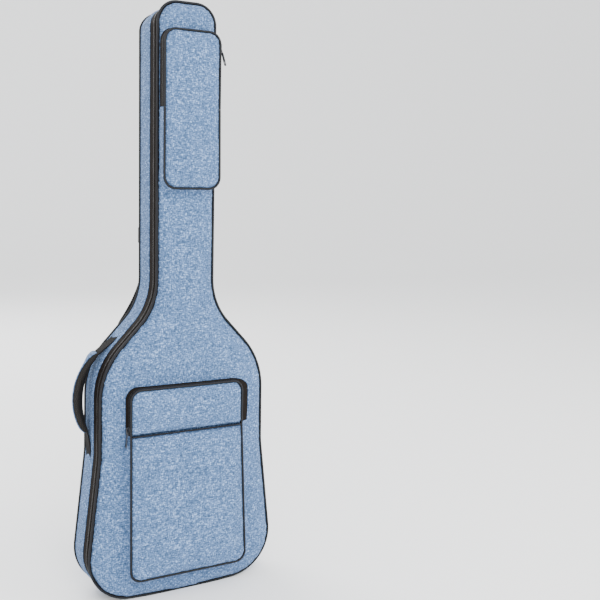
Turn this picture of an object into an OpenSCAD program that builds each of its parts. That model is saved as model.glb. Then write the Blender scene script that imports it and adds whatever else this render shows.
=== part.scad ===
// Padded gig bag for an electric guitar, stood upright with its front facing -Y.
// X runs to the right as seen from the front, Y to the back, Z up. Millimetres.
// Everything is drawn with z = 0 at the bottom seam and y = 0 at the front seam,
// then moved so that the origin is the bearing point of the hang loop.

/* [Body] */
// Height from the bottom seam to the top seam
bag_height = 1040; // [900:5:1300]
// Depth between the front and the back seam
bag_depth = 78; // [50:1:120]
// Half the width of the neck
neck_half = 52; // [40:1:70]
// Corner radius at the top of the neck
neck_corner = 34; // [15:1:50]
// Radius of the shoulder fillet under the neck
shoulder_r = 116; // [60:1:180]
// Height of the shoulder fillet's centre
shoulder_z = 570; // [450:5:700]
// Radius of the bottom corners
lower_r = 79; // [40:1:120]

/* [Padding] */
// Foam thickness of the front and back panels
foam = 9.7; // [4:0.1:15]
// Foam thickness of the gusset
gusset_foam = 5; // [3:0.5:10]
// Outer cloth thickness
cloth = 1.5; // [0.5:0.1:2.5]
// Lining thickness
lining = 0.8; // [0.3:0.1:1.5]
// Piping cord width
piping = 3; // [2:0.5:5]

/* [Main zipper] */
// Width of each zipper tape
tape = 15; // [8:1:20]
// Width of the closed coil
coil = 6; // [4:0.5:10]

/* [Pockets] */
// Half the width of the lower pocket
low_half = 110; // [80:1:130]
// Bottom of the lower pocket
low_bottom = 45; // [20:1:80]
// Top of the lower pocket
low_top = 385; // [250:1:420]
// Height of the lower pocket's fold line
low_fold = 306; // [200:1:360]
// Half the width of the upper pocket
up_half = 49.5; // [30:0.5:55]
// Bottom of the upper pocket
up_bottom = 733; // [600:1:800]
// Top of the upper pocket
up_top = 991; // [900:1:1020]
// Height of the upper pocket's fold line
up_fold = 864; // [780:1:950]
// Depth of the pocket walls
pocket_depth = 20; // [10:1:40]
// Padded thickness of the pocket faces
face = 6; // [2:0.5:10]

/* [Straps] */
// Width of all the webbing
webbing = 25; // [20:1:38]
// Thickness of the webbing
web_thick = 2; // [1:0.5:3]
// Thickness of the padded part of each strap
strap_thick = 7; // [4:0.5:14]
// How far the straps stand off the back
strap_rise = 50; // [20:1:120]

/* [Hidden] */
front_face = -(cloth + foam + lining);
back_face = bag_depth - front_face;
zip_mid = tape + coil / 2;
zip_end = 2 * tape + coil;
gap = 0.3;
// Height at which the gusset's foam is joined, below the top corners.
top_cut = bag_height - 100;
loop_bearing = [0, 101, 716];

blue = [0.55, 0.65, 0.78];
black = [0.10, 0.10, 0.11];
brown = [0.22, 0.19, 0.18];
grey = [0.45, 0.45, 0.47];
steel = [0.25, 0.25, 0.27];

// ---- outline ---------------------------------------------------------

// The right half as circles [x, z, radius, side], clockwise from the top.
// Side is 1 where the outline bulges outwards and -1 where it is hollow.
right_arcs = [
    [neck_half - neck_corner, bag_height - neck_corner, neck_corner, 1],
    [neck_half + shoulder_r, shoulder_z, shoulder_r, -1],
    [20, 362, 134, 1],
    [307.5, 271, 152.7, -1],
    [96, 83, lower_r, 1]];

top_arc = [0, bag_height - 600, 600, 1];
bottom_arc = [0, 1200, 1200, 1];

function flipped(c) = [-c[0], c[1], c[2], c[3]];
arcs = concat([top_arc], right_arcs, [bottom_arc],
    [for (i = [len(right_arcs) - 1:-1:0]) flipped(right_arcs[i])]);

function grown(c, t) = [c[0], c[1], c[2] + c[3] * t, c[3]];
function turn(a) = a + 0.001 - 360 * floor((a + 0.001) / 360) - 0.001;

// Angle of the straight run that leaves circle a and meets circle b.
function leave(a, b) =
    let (d = [b[0] - a[0], b[1] - a[1]],
        c = (a[3] * a[2] - b[3] * b[2]) / norm(d))
    atan2(d[1], d[0]) + acos(max(-1, min(1, c)));

function arc_points(c, a0, a1) =
    let (sweep = c[3] > 0 ? -turn(a0 - a1) : turn(a1 - a0),
        n = max(3, ceil(abs(sweep) / 7)))
    [for (k = [0:n]) let (a = a0 + sweep * k / n)
        [c[0] + c[3] * c[2] * cos(a), c[1] + c[3] * c[2] * sin(a)]];

// Closed outline of the bag, moved outwards by t.
function outline(t) =
    let (cs = [for (c = arcs) grown(c, t)], n = len(cs))
    [for (i = [0:n - 1])
        let (prev = cs[(i + n - 1) % n], next = cs[(i + 1) % n])
        each arc_points(cs[i], leave(prev, cs[i]), leave(cs[i], next))];

// Rounded rectangle in x and z.
function corner(x, z, r, a0) =
    [for (k = [0:6]) let (a = a0 - 15 * k) [x + r * cos(a), z + r * sin(a)]];
function rounded(half, z0, z1, r) = concat(
    corner(half - r, z1 - r, r, 90), corner(half - r, z0 + r, r, 0),
    corner(r - half, z0 + r, r, -90), corner(r - half, z1 - r, r, 180));

// ---- drawing helpers -------------------------------------------------

module place() {
    translate(-loop_bearing) children();
}

// Extrude a drawing in x and z from y0 to y1.
module along_y(y0, y1) {
    translate([0, y1, 0]) rotate([90, 0, 0]) linear_extrude(y1 - y0)
        children();
}

// Extrude a drawing in z and y from x0 to x1.
module along_x(x0, x1) {
    translate([x0, 0, 0]) rotate([0, 90, 0]) mirror([1, 0, 0])
        linear_extrude(x1 - x0) children();
}

module ring(t0, t1) {
    difference() {
        polygon(outline(t1));
        polygon(outline(t0));
    }
}

// The side of the bag where cloth folds instead of a zipper, grown by m.
module hinge_side(m = 0) {
    polygon([[8, 974 + m], [400, 974 + m], [400, -50], [112 - m, -50],
        [112 - m, 300], [8, 500]]);
}

// The zipped side, its ends cut back by m.
module zip_side(m = 0) {
    difference() {
        square([900, 2400], center = true);
        hinge_side(m);
    }
}

module band(y0, y1, t0, t1, hinge, m = 0) {
    along_y(y0, y1) intersection() {
        ring(t0, t1);
        if (hinge) hinge_side(); else zip_side(m);
    }
}

module slab(y0, y1) {
    along_y(y0, y1) polygon(outline(-1));
}

module cord(y0) {
    along_y(y0, y0 + piping) ring(-1, piping - 1);
}

module slice(z0, z1) {
    translate([-200, z0]) square([400, z1 - z0]);
}

// ---- shell: back panel and gusset ------------------------------------

module back_cloth() color(blue) place() slab(back_face - cloth, back_face);
module back_foam() color(grey) place()
    slab(bag_depth + lining, back_face - cloth);
module back_lining() color(black) place()
    slab(bag_depth, bag_depth + lining);
module back_piping() color(black) place() cord(bag_depth);

module zip_gusset_cloth() color(blue) place()
    band(zip_end, bag_depth, -cloth, 0, false);
module zip_foam(z0, z1) along_y(zip_end, bag_depth) intersection() {
    ring(-cloth - gusset_foam, -cloth);
    zip_side();
    slice(z0, z1);
}
module zip_gusset_foam() color(grey) place() zip_foam(-20, top_cut);
module top_gusset_foam() color(grey) place() zip_foam(top_cut, 1100);
module zip_gusset_lining() color(black) place()
    band(zip_end, bag_depth, -cloth - gusset_foam - lining,
        -cloth - gusset_foam, false);
module hinge_gusset_cloth() color(blue) place()
    band(gap, bag_depth, -cloth, 0, true);
module hinge_gusset_foam() color(grey) place()
    band(gap, bag_depth, -cloth - gusset_foam, -cloth, true);
module hinge_gusset_lining() color(black) place()
    band(gap, bag_depth, -cloth - gusset_foam - lining,
        -cloth - gusset_foam, true);

// ---- main zipper -----------------------------------------------------

module rear_zip_tape() color(brown) place()
    band(tape + coil, zip_end, -3, -1.5, false);
module rear_zip_coil() color(black) place()
    band(zip_mid + gap / 2, tape + coil, -3, -0.8, false);
module front_zip_tape() color(brown) place()
    band(0, tape, -3, -1.5, false, 1.2);
module front_zip_coil() color(black) place()
    band(tape, zip_mid - gap / 2, -3, -0.8, false, 1.2);

// Cloth tabs over the two ends of the main zipper, on the hinge gusset.
module zip_end_tabs() color(black) place() {
    along_y(6, zip_end) intersection() {
        ring(0, 1.2);
        union() {
            translate([40, 950]) square([30, 23]);
            translate([113, -20]) square([22, 60]);
        }
    }
}

// ---- shell: trim -----------------------------------------------------

module yoke() color(black) place()
    along_y(back_face, back_face + web_thick)
        slice_rect(neck_half - 2, 629, 656);

module slice_rect(half, z0, z1) {
    translate([-half, z0]) square([2 * half, z1 - z0]);
}

// Arch of webbing: flat sewn feet, turned edge-on over the top.
function arch(half, foot, top, n) = [for (k = [0:n])
    let (a = 180 * k / n, lift = pow(abs(sin(a)), 0.75))
    [half * cos(a) * (1 - 0.28 * sin(a)), foot + (top - foot) * lift]];

module hang_loop() color(black) place() {
    y0 = back_face + 2.8;
    along_y(y0 + 2, y0 + 14) difference() {
        polygon(arch(31, 668, 720, 24));
        polygon(arch(27, 660, 716, 24));
    }
    along_y(y0, y0 + 2.4) for (s = [-1, 1]) scale([s, 1])
        polygon([[11, 660.5], [36, 660.5], [31, 678], [25, 680]]);
}

module wing_patches() color(blue) place()
    along_y(back_face, back_face + web_thick) for (s = [-1, 1])
        scale([s, 1]) intersection() {
            polygon([[172, 158], [146, 104], [172, 76]]);
            polygon(outline(-1.2));
        }

module wing_webs() color(black) place()
    along_y(back_face + web_thick, back_face + 2 * web_thick)
        for (s = [-1, 1]) scale([s, 1]) translate([153, 113])
            rotate(17) slice_rect(webbing / 2, -9, 12);

// ---- straps ----------------------------------------------------------

// Strap shape by height: t is 0 at the yoke and 1 at the pad's lower end.
strap_top = 655;
strap_end = 455;
strap_split = 546;
lock_z = 428;
function drop(z) = (strap_top - z) / (strap_top - strap_end);
function strap_x(z) = 20 + 32 * pow(drop(z), 3);
function strap_half(z) = 17 + 11 * drop(z);
function ease(u) = let (v = max(0, min(1, u))) v * v * (3 - 2 * v);
function strap_y(z) =
    back_face + web_thick + 4 + strap_rise * ease((575 - z) / 140);
lock_x = 61;
lock_y = strap_y(lock_z) + 5;
web_foot = [151, back_face + 10, 126];

module strap_plan(z0, z1, n) {
    polygon(concat(
        [for (k = [0:n]) let (z = z1 + (z0 - z1) * k / n)
            [strap_x(z) + strap_half(z), z]],
        [for (k = [n:-1:0]) let (z = z1 + (z0 - z1) * k / n)
            [strap_x(z) - strap_half(z), z]]));
}

// Side profile in z and y, as thick as t.
module strap_side(z0, z1, off, t, n) {
    polygon(concat(
        [for (k = [0:n]) let (z = z0 + (z1 - z0) * k / n)
            [z, strap_y(z) + off]],
        [for (k = [n:-1:0]) let (z = z0 + (z1 - z0) * k / n)
            [z, strap_y(z) + off + t]]));
}

module strap_pad(z0, z1) {
    intersection() {
        along_y(80, 260) strap_plan(z0, z1, 12);
        along_x(-5, 120) strap_side(z0, z1, -strap_thick / 2, strap_thick, 12);
    }
}

module strap_tab() {
    intersection() {
        along_y(80, 260) polygon([[36, 478], [61, 478], [73, 443],
            [48, 443]]);
        along_x(-5, 120) strap_side(443, 478, strap_thick / 2 + 0.15,
            web_thick, 6);
    }
}

// Three bars between two rails.
module ladder_lock() {
    translate([lock_x, lock_y + 2.5, lock_z]) rotate([0, -17, 0])
        along_y(-2, 2) difference() {
            polygon(rounded(17, -18, 18, 5));
            slice_rect(13.5, 9.5, 14);
            slice_rect(13.5, -3, 5.5);
            slice_rect(13.5, -14.5, -7);
        }
}

module lower_web() {
    top = [lock_x + 5, lock_y - 1.5, lock_z - 17];
    z0 = web_foot[2] + 6;
    z1 = top[2];
    half = webbing / 2;
    intersection() {
        along_y(80, 260) polygon([[top[0] - half, z1], [top[0] + half, z1],
            [web_foot[0] + half, z0], [web_foot[0] - half, z0]]);
        along_x(-5, 200) polygon(concat(
            [for (k = [0:8]) [z0 + (z1 - z0) * k / 8,
                web_y(k / 8, top) ]],
            [for (k = [8:-1:0]) [z0 + (z1 - z0) * k / 8,
                web_y(k / 8, top) + web_thick]]));
    }
}
function web_y(u, top) =
    web_foot[1] + (top[1] - web_foot[1]) * u + 6 * sin(180 * u);

module tail() {
    z1 = lock_z - 24;
    y1 = lock_y + 4;
    intersection() {
        along_y(80, 280) polygon([[lock_x - 6, z1], [lock_x + 19, z1],
            [lock_x + 22, z1 - 95], [lock_x - 3, z1 - 95]]);
        along_x(-5, 200) polygon(concat(
            [for (k = [0:8]) [z1 - 95 * k / 8, y1 + 10 * pow(k / 8, 2)]],
            [for (k = [8:-1:0]) [z1 - 95 * k / 8,
                y1 + 10 * pow(k / 8, 2) + web_thick]]));
    }
}

module strap_roots() color(blue) place() for (s = [0, 1])
    mirror([s, 0, 0]) strap_pad(strap_split + 0.6, strap_top);
module left_strap_pad() color(blue) place()
    mirror([1, 0, 0]) strap_pad(strap_end, strap_split - 0.6);
module right_strap_pad() color(blue) place()
    strap_pad(strap_end, strap_split - 0.6);
module left_strap_tab() color(black) place() mirror([1, 0, 0]) strap_tab();
module right_strap_tab() color(black) place() strap_tab();
module left_lock() color(grey) place() mirror([1, 0, 0]) ladder_lock();
module right_lock() color(grey) place() ladder_lock();
module left_lower_web() color(black) place()
    mirror([1, 0, 0]) lower_web();
module right_lower_web() color(black) place() lower_web();
module left_tail() color(black) place() mirror([1, 0, 0]) tail();
module right_tail() color(black) place() tail();

// ---- side handle -----------------------------------------------------

// Circle through the grip, in x and z, and the middle of the blue gusset.
handle_mid = (zip_end + bag_depth) / 2;
grip_centre = [-52, 356];
grip_r = 123;
grip_w = 30;

module grip_band(r0, r1, a0, a1) {
    n = 18;
    polygon(concat(
        [for (k = [0:n]) let (a = a0 + (a1 - a0) * k / n)
            grip_centre + r1 * [cos(a), sin(a)]],
        [for (k = [n:-1:0]) let (a = a0 + (a1 - a0) * k / n)
            grip_centre + r0 * [cos(a), sin(a)]]));
}

module handle_grip() color(black) place()
    along_y(handle_mid - grip_w / 2, handle_mid + grip_w / 2)
        grip_band(grip_r - 5, grip_r + 4, 140, 205);
module handle_face() color(blue) place()
    along_y(handle_mid - grip_w / 2 + 2, handle_mid + grip_w / 2 - 2)
        grip_band(grip_r + 4, grip_r + 6, 140, 205);

// Sewn ends of the handle's webbing on the gusset.
module handle_tabs() color(black) place()
    along_y(handle_mid - webbing / 2, handle_mid + webbing / 2)
        intersection() {
            ring(0, web_thick);
            union() {
                polygon([[-80, 490], [-118, 490], [-128, 462], [-90, 450]]);
                translate([-180, 246]) square([40, 34]);
            }
        }

// ---- lid: front panel ------------------------------------------------

module front_cloth() color(blue) place()
    slab(front_face, front_face + cloth);
module front_foam() color(grey) place() slab(front_face + cloth, -lining);
module front_lining() color(black) place() slab(-lining, 0);
module front_piping() color(black) place() cord(-piping);

// ---- pockets ---------------------------------------------------------

// Wall of a pocket between two depths and two heights.
module pocket_wall(half, z0, z1, r, y0, y1, cut0, cut1) {
    along_y(y0, y1) intersection() {
        difference() {
            polygon(rounded(half, z0, z1, r));
            polygon(rounded(half - 3, z0 + 3, z1 - 3, r - 3));
        }
        slice(cut0, cut1);
    }
}

module pocket_face(half, z0, z1, r, y0, cut0, cut1) {
    along_y(y0, y0 + face) intersection() {
        polygon(rounded(half - 1, z0 + 1, z1 - 1, r - 1));
        slice(cut0, cut1);
    }
}

module pocket_cord(half, z0, z1, r, y0, cut0, cut1) {
    along_y(y0, y0 + piping) intersection() {
        difference() {
            polygon(rounded(half + 2, z0 - 2, z1 + 2, r + 2));
            polygon(rounded(half - 1, z0 + 1, z1 - 1, r - 1));
        }
        slice(cut0, cut1);
    }
}

wall_out = front_face - pocket_depth;
wall_cut = front_face - 9;
low_r = 18;
up_r = 14;
fold_gap = 0.6;

module lower_pocket_wall() color(blue) place()
    pocket_wall(low_half, low_bottom, low_top, low_r, wall_out,
        front_face, 0, low_fold);
module lower_pocket_tape() color(brown) place()
    pocket_wall(low_half, low_bottom, low_top, low_r, wall_cut,
        front_face, low_fold, 500);
module lower_pocket_face() color(blue) place()
    pocket_face(low_half, low_bottom, low_top, low_r, wall_out - face,
        0, low_fold);
module lower_pocket_piping() color(black) place()
    pocket_cord(low_half, low_bottom, low_top, low_r, wall_out - piping,
        0, low_fold);
module lower_crossbar() color(black) place()
    along_y(wall_out - face - piping, wall_out - face)
        slice_rect(low_half - 1, low_fold - piping - 0.3, low_fold - 0.3);
module lower_flap_face() color(blue) place()
    pocket_face(low_half, low_bottom, low_top, low_r, wall_out - face,
        low_fold + fold_gap, 500);
module lower_flap_piping() color(black) place()
    pocket_cord(low_half, low_bottom, low_top, low_r, wall_out - piping,
        low_fold + fold_gap, 500);
module lower_flap_tape() color(brown) place()
    pocket_wall(low_half, low_bottom, low_top, low_r, wall_out,
        wall_cut - gap, low_fold + fold_gap, 500);

module upper_pocket_wall() color(blue) place()
    pocket_wall(up_half, up_bottom, up_top, up_r, wall_out,
        front_face, 700, up_fold);
module upper_pocket_tape() color(brown) place()
    pocket_wall(up_half, up_bottom, up_top, up_r, wall_cut,
        front_face, up_fold, 1100);
module upper_pocket_face() color(blue) place()
    pocket_face(up_half, up_bottom, up_top, up_r, wall_out - face,
        700, up_fold);
module upper_pocket_piping() color(black) place()
    pocket_cord(up_half, up_bottom, up_top, up_r, wall_out - piping,
        700, up_fold);
module upper_flap_face() color(blue) place()
    pocket_face(up_half, up_bottom, up_top, up_r, wall_out - face,
        up_fold + fold_gap, 1100);
module upper_flap_piping() color(black) place()
    pocket_cord(up_half, up_bottom, up_top, up_r, wall_out - piping,
        up_fold + fold_gap, 1100);
module upper_flap_tape() color(brown) place()
    pocket_wall(up_half, up_bottom, up_top, up_r, wall_out,
        wall_cut - gap, up_fold + fold_gap, 1100);

// ---- sliders ---------------------------------------------------------

// Slider body in its own frame: x outwards, y across, z along the teeth.
module slider_body() {
    translate([0, -4, -6]) cube([3, 8, 12]);
    translate([0, -1, -6]) difference() {
        cube([6.4, 2, 12]);
        translate([3, -1, 2]) cube([2.2, 4, 8]);
    }
}

// Pull hanging from the bridge: a bar, two arms and a holed plate.
module slider_pull() {
    translate([4.1, 0, -1]) rotate([90, 0, 0])
        cylinder(h = 6, r = 0.7, center = true, $fn = 24);
    for (s = [-1, 1]) translate([3.4, s * 2.3 - 0.9, -8.5])
        cube([1.4, 1.8, 7.5]);
    translate([3.4, 0, 0]) rotate([0, 90, 0]) linear_extrude(1.4)
        difference() {
            polygon([[8, -3.2], [26, -3.2], [29.5, -1.8], [30.5, 0],
                [29.5, 1.8], [26, 3.2], [8, 3.2]]);
            translate([25.5, 0]) circle(r = 1.6, $fn = 24);
        }
}

main_seat = [neck_half - 0.3, zip_mid, 984];
upper_seat = [up_half + gap, wall_cut - gap / 2, up_top - 21];
lower_seat = [-low_half - gap, wall_cut - gap / 2, low_fold + 9];

module main_slider() color(steel) place() translate(main_seat)
    slider_body();
module main_pull() color(steel) place() translate(main_seat)
    slider_pull();
module upper_slider() color(steel) place() translate(upper_seat)
    slider_body();
module upper_pull() color(steel) place() translate(upper_seat)
    slider_pull();
module lower_slider() color(steel) place() translate(lower_seat)
    mirror([1, 0, 0]) slider_body();
module lower_pull() color(steel) place() translate(lower_seat)
    mirror([1, 0, 0]) slider_pull();

// ---- output ----------------------------------------------------------

back_cloth();
back_foam();
back_lining();
zip_gusset_cloth();
zip_gusset_foam();
top_gusset_foam();
zip_gusset_lining();
hinge_gusset_cloth();
hinge_gusset_foam();
hinge_gusset_lining();
back_piping();
rear_zip_tape();
rear_zip_coil();
zip_end_tabs();
yoke();
hang_loop();
wing_patches();
wing_webs();
strap_roots();
handle_tabs();
handle_grip();
handle_face();
front_cloth();
front_foam();
front_lining();
front_piping();
front_zip_tape();
front_zip_coil();
upper_pocket_wall();
upper_pocket_face();
upper_pocket_piping();
upper_pocket_tape();
upper_flap_face();
upper_flap_piping();
upper_flap_tape();
lower_pocket_wall();
lower_pocket_face();
lower_pocket_piping();
lower_crossbar();
lower_pocket_tape();
lower_flap_face();
lower_flap_piping();
lower_flap_tape();
main_slider();
main_pull();
upper_slider();
upper_pull();
lower_slider();
lower_pull();
left_strap_pad();
left_strap_tab();
left_lock();
left_lower_web();
left_tail();
right_strap_pad();
right_strap_tab();
right_lock();
right_lower_web();
right_tail();
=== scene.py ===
"""Looks of a padded guitar gig bag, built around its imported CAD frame.

All sizes in the classes below are in millimetres, in the maker's own frame:
x to the right, y to the back, z up, with z = 0 at the bottom seam and y = 0
at the front seam. ``to_row`` turns them into the row frame in metres.
"""

import logging
import math
from dataclasses import dataclass
from enum import Enum
from typing import Callable, Optional, Sequence

import bmesh
import bpy
import numpy as np
from mathutils import Matrix, Vector, noise
from mathutils.geometry import delaunay_2d_cdt


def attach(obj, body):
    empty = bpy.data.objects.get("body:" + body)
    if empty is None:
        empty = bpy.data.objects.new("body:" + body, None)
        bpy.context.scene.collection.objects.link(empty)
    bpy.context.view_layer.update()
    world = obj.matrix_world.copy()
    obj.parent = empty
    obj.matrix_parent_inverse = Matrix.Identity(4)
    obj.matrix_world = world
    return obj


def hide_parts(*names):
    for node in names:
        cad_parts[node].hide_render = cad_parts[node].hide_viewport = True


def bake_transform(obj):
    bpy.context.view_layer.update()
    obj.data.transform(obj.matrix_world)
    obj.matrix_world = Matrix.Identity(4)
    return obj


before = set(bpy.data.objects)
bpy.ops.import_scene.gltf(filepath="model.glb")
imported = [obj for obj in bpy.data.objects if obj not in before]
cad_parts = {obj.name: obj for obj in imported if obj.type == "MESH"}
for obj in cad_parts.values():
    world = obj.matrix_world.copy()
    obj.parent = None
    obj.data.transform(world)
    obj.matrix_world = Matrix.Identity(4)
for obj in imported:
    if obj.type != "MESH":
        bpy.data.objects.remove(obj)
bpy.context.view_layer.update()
LOG = logging.getLogger("gig_bag")

ORIGIN = np.array([0.0, 101.0, 716.0])
MM = 0.001
TOP_SLOPE = 11.0
TOP_SLOPE_FROM = 945.0
STITCH = (0.75, 0.75, 3.0)
FINE_STITCH = (0.6, 0.6, 2.8)
MIDDLE = (0.0, 300.0)


class Slot(Enum):
    """The record's material slots."""

    CLOTH = "blue_cloth"
    LINING = "lining"
    PIPING = "piping"
    TAPE = "zip_tape"
    COIL = "zip_coil"
    WEBBING = "webbing"
    MESH = "mesh"
    PLASTIC = "plastic"
    METAL = "metal"


@dataclass(frozen=True)
class Sizes:
    """Sizes shared by the sub-assemblies."""

    height: float = 1040.0
    depth: float = 78.0
    back_face: float = 90.0
    tape: float = 15.0
    coil: float = 6.0
    webbing: float = 25.0
    web_thick: float = 1.9
    piping: float = 2.3
    zip_top: tuple[float, float] = (52.0, 974.0)
    zip_bottom: tuple[float, float] = (112.0, 6.0)

    @property
    def zip_end(self) -> float:
        """Depth at which the blue gusset begins."""
        return 2 * self.tape + self.coil


SIZES = Sizes()


# ---- plain geometry ---------------------------------------------------


def ease(u: float) -> float:
    """Smooth step from 0 to 1."""
    v = min(max(u, 0.0), 1.0)
    return v * v * (3 - 2 * v)


def to_row(points: np.ndarray) -> np.ndarray:
    """Turn millimetres in the maker's frame into metres in the row frame.

    The soft top of the bag slopes down a little towards its back.
    """
    p = np.array(points, float)
    u = np.clip((p[..., 2] - TOP_SLOPE_FROM) / (SIZES.height - TOP_SLOPE_FROM), 0, 1)
    p[..., 2] -= TOP_SLOPE * np.clip(p[..., 1] / SIZES.depth, 0, 1.15) * u * u * (3 - 2 * u)
    return (p - ORIGIN) * MM


def unit(v: np.ndarray) -> np.ndarray:
    """Vectors scaled to length 1, along the last axis."""
    v = np.asarray(v, float)
    return v / np.maximum(np.linalg.norm(v, axis=-1, keepdims=True), 1e-12)


def resample(points: np.ndarray, step: float, closed: bool) -> np.ndarray:
    """Points at an even spacing along a line.

    Args:
        points: Corners of the line.
        step: Wanted spacing.
        closed: Whether the last point joins the first.

    Returns:
        The evenly spaced points, without the repeated first one.
    """
    pts = np.asarray(points, float)
    if closed:
        pts = np.vstack([pts, pts[:1]])
    seg = np.linalg.norm(np.diff(pts, axis=0), axis=1)
    keep = np.concatenate([[True], seg > 1e-6])
    pts = pts[keep]
    at = np.concatenate([[0.0], np.cumsum(np.linalg.norm(np.diff(pts, axis=0), axis=1))])
    count = max(2, int(round(at[-1] / step)))
    want = np.linspace(0, at[-1], count + 1)
    out = np.stack([np.interp(want, at, pts[:, k]) for k in range(pts.shape[1])], 1)
    return out[:-1] if closed else out


def tangents(points: np.ndarray, closed: bool) -> np.ndarray:
    """Directions along a line at each of its points.

    Args:
        points: Points along the line.
        closed: Whether the last point joins the first.

    Returns:
        One unit vector for each point.
    """
    if closed:
        return unit(np.roll(points, -1, 0) - np.roll(points, 1, 0))
    return unit(np.gradient(points, axis=0))


def finish_mesh(obj: bpy.types.Object, sharp: Optional[float] = 40.0) -> bpy.types.Object:
    """Point the faces outwards and shade them smooth.

    Args:
        obj: The mesh object.
        sharp: Angle in degrees past which an edge stays sharp.

    Returns:
        The same object.
    """
    bm = bmesh.new()
    bm.from_mesh(obj.data)
    bmesh.ops.recalc_face_normals(bm, faces=bm.faces)
    for f in bm.faces:
        f.smooth = True
    bm.to_mesh(obj.data)
    bm.free()
    if sharp is not None:
        obj.data.set_sharp_from_angle(angle=math.radians(sharp))
    return obj


def new_object(name: str, verts: np.ndarray, faces: Sequence[Sequence[int]]) -> bpy.types.Object:
    """A mesh object in the scene, from points in the maker's frame.

    Args:
        name: Name of the object.
        verts: Its points.
        faces: Corner numbers of each face.

    Returns:
        The object, not smoothed yet.
    """
    mesh = bpy.data.meshes.new(name)
    mesh.from_pydata([tuple(v) for v in to_row(verts)], [], [tuple(f) for f in faces])
    mesh.update()
    obj = bpy.data.objects.new(name, mesh)
    bpy.context.scene.collection.objects.link(obj)
    return obj


def grid_object(
    name: str,
    grid: np.ndarray,
    loop_rows: bool = False,
    loop_cols: bool = True,
    sharp: Optional[float] = 40.0,
) -> bpy.types.Object:
    """A skin over a grid of points, with a UV map in metres.

    Args:
        name: Name of the piece.
        grid: Points by row (along the piece) and column (round its section).
        loop_rows: Whether the last row joins the first.
        loop_cols: Whether the last column joins the first.
        sharp: Angle in degrees past which an edge stays sharp.

    Returns:
        The new object, closed at its ends.
    """
    n, m, _ = grid.shape
    rows = n if loop_rows else n - 1
    cols = m if loop_cols else m - 1
    faces: list[tuple[int, ...]] = []
    uvs: list[tuple[float, float]] = []
    along = np.concatenate([[0.0], np.cumsum(np.linalg.norm(np.diff(grid.mean(1), axis=0), axis=1))])
    along = np.append(along, along[-1] + (along[1] - along[0]))
    ring = np.vstack([grid[n // 2], grid[n // 2][:1]])
    round_ = np.concatenate([[0.0], np.cumsum(np.linalg.norm(np.diff(ring, axis=0), axis=1))])
    for i in range(rows):
        for j in range(cols):
            a, b = i * m + j, i * m + (j + 1) % m
            c, d = ((i + 1) % n) * m + (j + 1) % m, ((i + 1) % n) * m + j
            faces.append((a, b, c, d))
            for r, q in ((i, j), (i, j + 1), (i + 1, j + 1), (i + 1, j)):
                uvs.append((round_[q] * MM, along[r] * MM))
    verts = grid.reshape(-1, 3)
    if loop_cols and not loop_rows:
        for base in (0, (n - 1) * m):
            middle = len(verts)
            verts = np.vstack([verts, verts[base : base + m].mean(0)])
            for j in range(m):
                faces.append((base + j, base + (j + 1) % m, middle))
                uvs += [(0.0, 0.0)] * 3
    obj = new_object(name, verts, faces)
    layer = obj.data.uv_layers.new(name="UVMap")
    layer.data.foreach_set("uv", np.array(uvs, np.float32).ravel())
    return finish_mesh(obj, sharp)


def join(objects: Sequence[bpy.types.Object], name: str) -> bpy.types.Object:
    """Join several meshes into one piece.

    Args:
        objects: Meshes to join; only the first one stays.
        name: Name of the joined piece.

    Returns:
        The joined piece.
    """
    first = objects[0]
    with bpy.context.temp_override(
        active_object=first, selected_editable_objects=list(objects), selected_objects=list(objects)
    ):
        bpy.ops.object.join()
    first.name = name
    first.data.name = name
    return first


def bevelled(obj: bpy.types.Object, width: float, segments: int = 2) -> bpy.types.Object:
    """Round the sharp edges of a mesh by ``width`` millimetres.

    Args:
        obj: Mesh to change.
        width: Width of the rounding in millimetres.
        segments: Steps across the rounding.

    Returns:
        The same object.
    """
    bm = bmesh.new()
    bm.from_mesh(obj.data)
    bmesh.ops.remove_doubles(bm, verts=bm.verts, dist=1e-6)
    edges = [e for e in bm.edges if len(e.link_faces) == 2 and e.calc_face_angle(0) > 0.6]
    bmesh.ops.bevel(
        bm, geom=edges, offset=width * MM, segments=segments, affect="EDGES", profile=0.6, clamp_overlap=True
    )
    bm.to_mesh(obj.data)
    bm.free()
    return finish_mesh(obj, 50.0)


def box_object(
    name: str, centre: Sequence[float], size: Sequence[float], axes: np.ndarray
) -> bpy.types.Object:
    """A block with its three edges along the rows of ``axes``.

    Args:
        name: Name of the block.
        centre: Its middle.
        size: Its full size along each edge.
        axes: Directions of its edges, one in each row.

    Returns:
        The block.
    """
    c, s, a = np.array(centre, float), np.array(size, float) / 2, np.array(axes, float)
    corners = [(i, j, k) for i in (-1, 1) for j in (-1, 1) for k in (-1, 1)]
    verts = np.array([c + a[0] * s[0] * i + a[1] * s[1] * j + a[2] * s[2] * k for i, j, k in corners])
    faces = [(0, 1, 3, 2), (4, 6, 7, 5), (0, 4, 5, 1), (2, 3, 7, 6), (0, 2, 6, 4), (1, 5, 7, 3)]
    return finish_mesh(new_object(name, verts, faces))


def wobble(p: np.ndarray, scale: float, seed: float) -> float:
    """Smooth random value in about -1 to 1 at a point in millimetres."""
    return noise.noise(Vector((p[0] / scale + seed, p[1] / scale, p[2] / scale)))


# ---- outlines ----------------------------------------------------------


@dataclass(frozen=True)
class Arc:
    """One circle of the outline: side is 1 where it bulges, -1 where hollow."""

    x: float
    z: float
    r: float
    side: int

    def mirrored(self) -> "Arc":
        """The same circle on the other side of the bag."""
        return Arc(-self.x, self.z, self.r, self.side)


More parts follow.
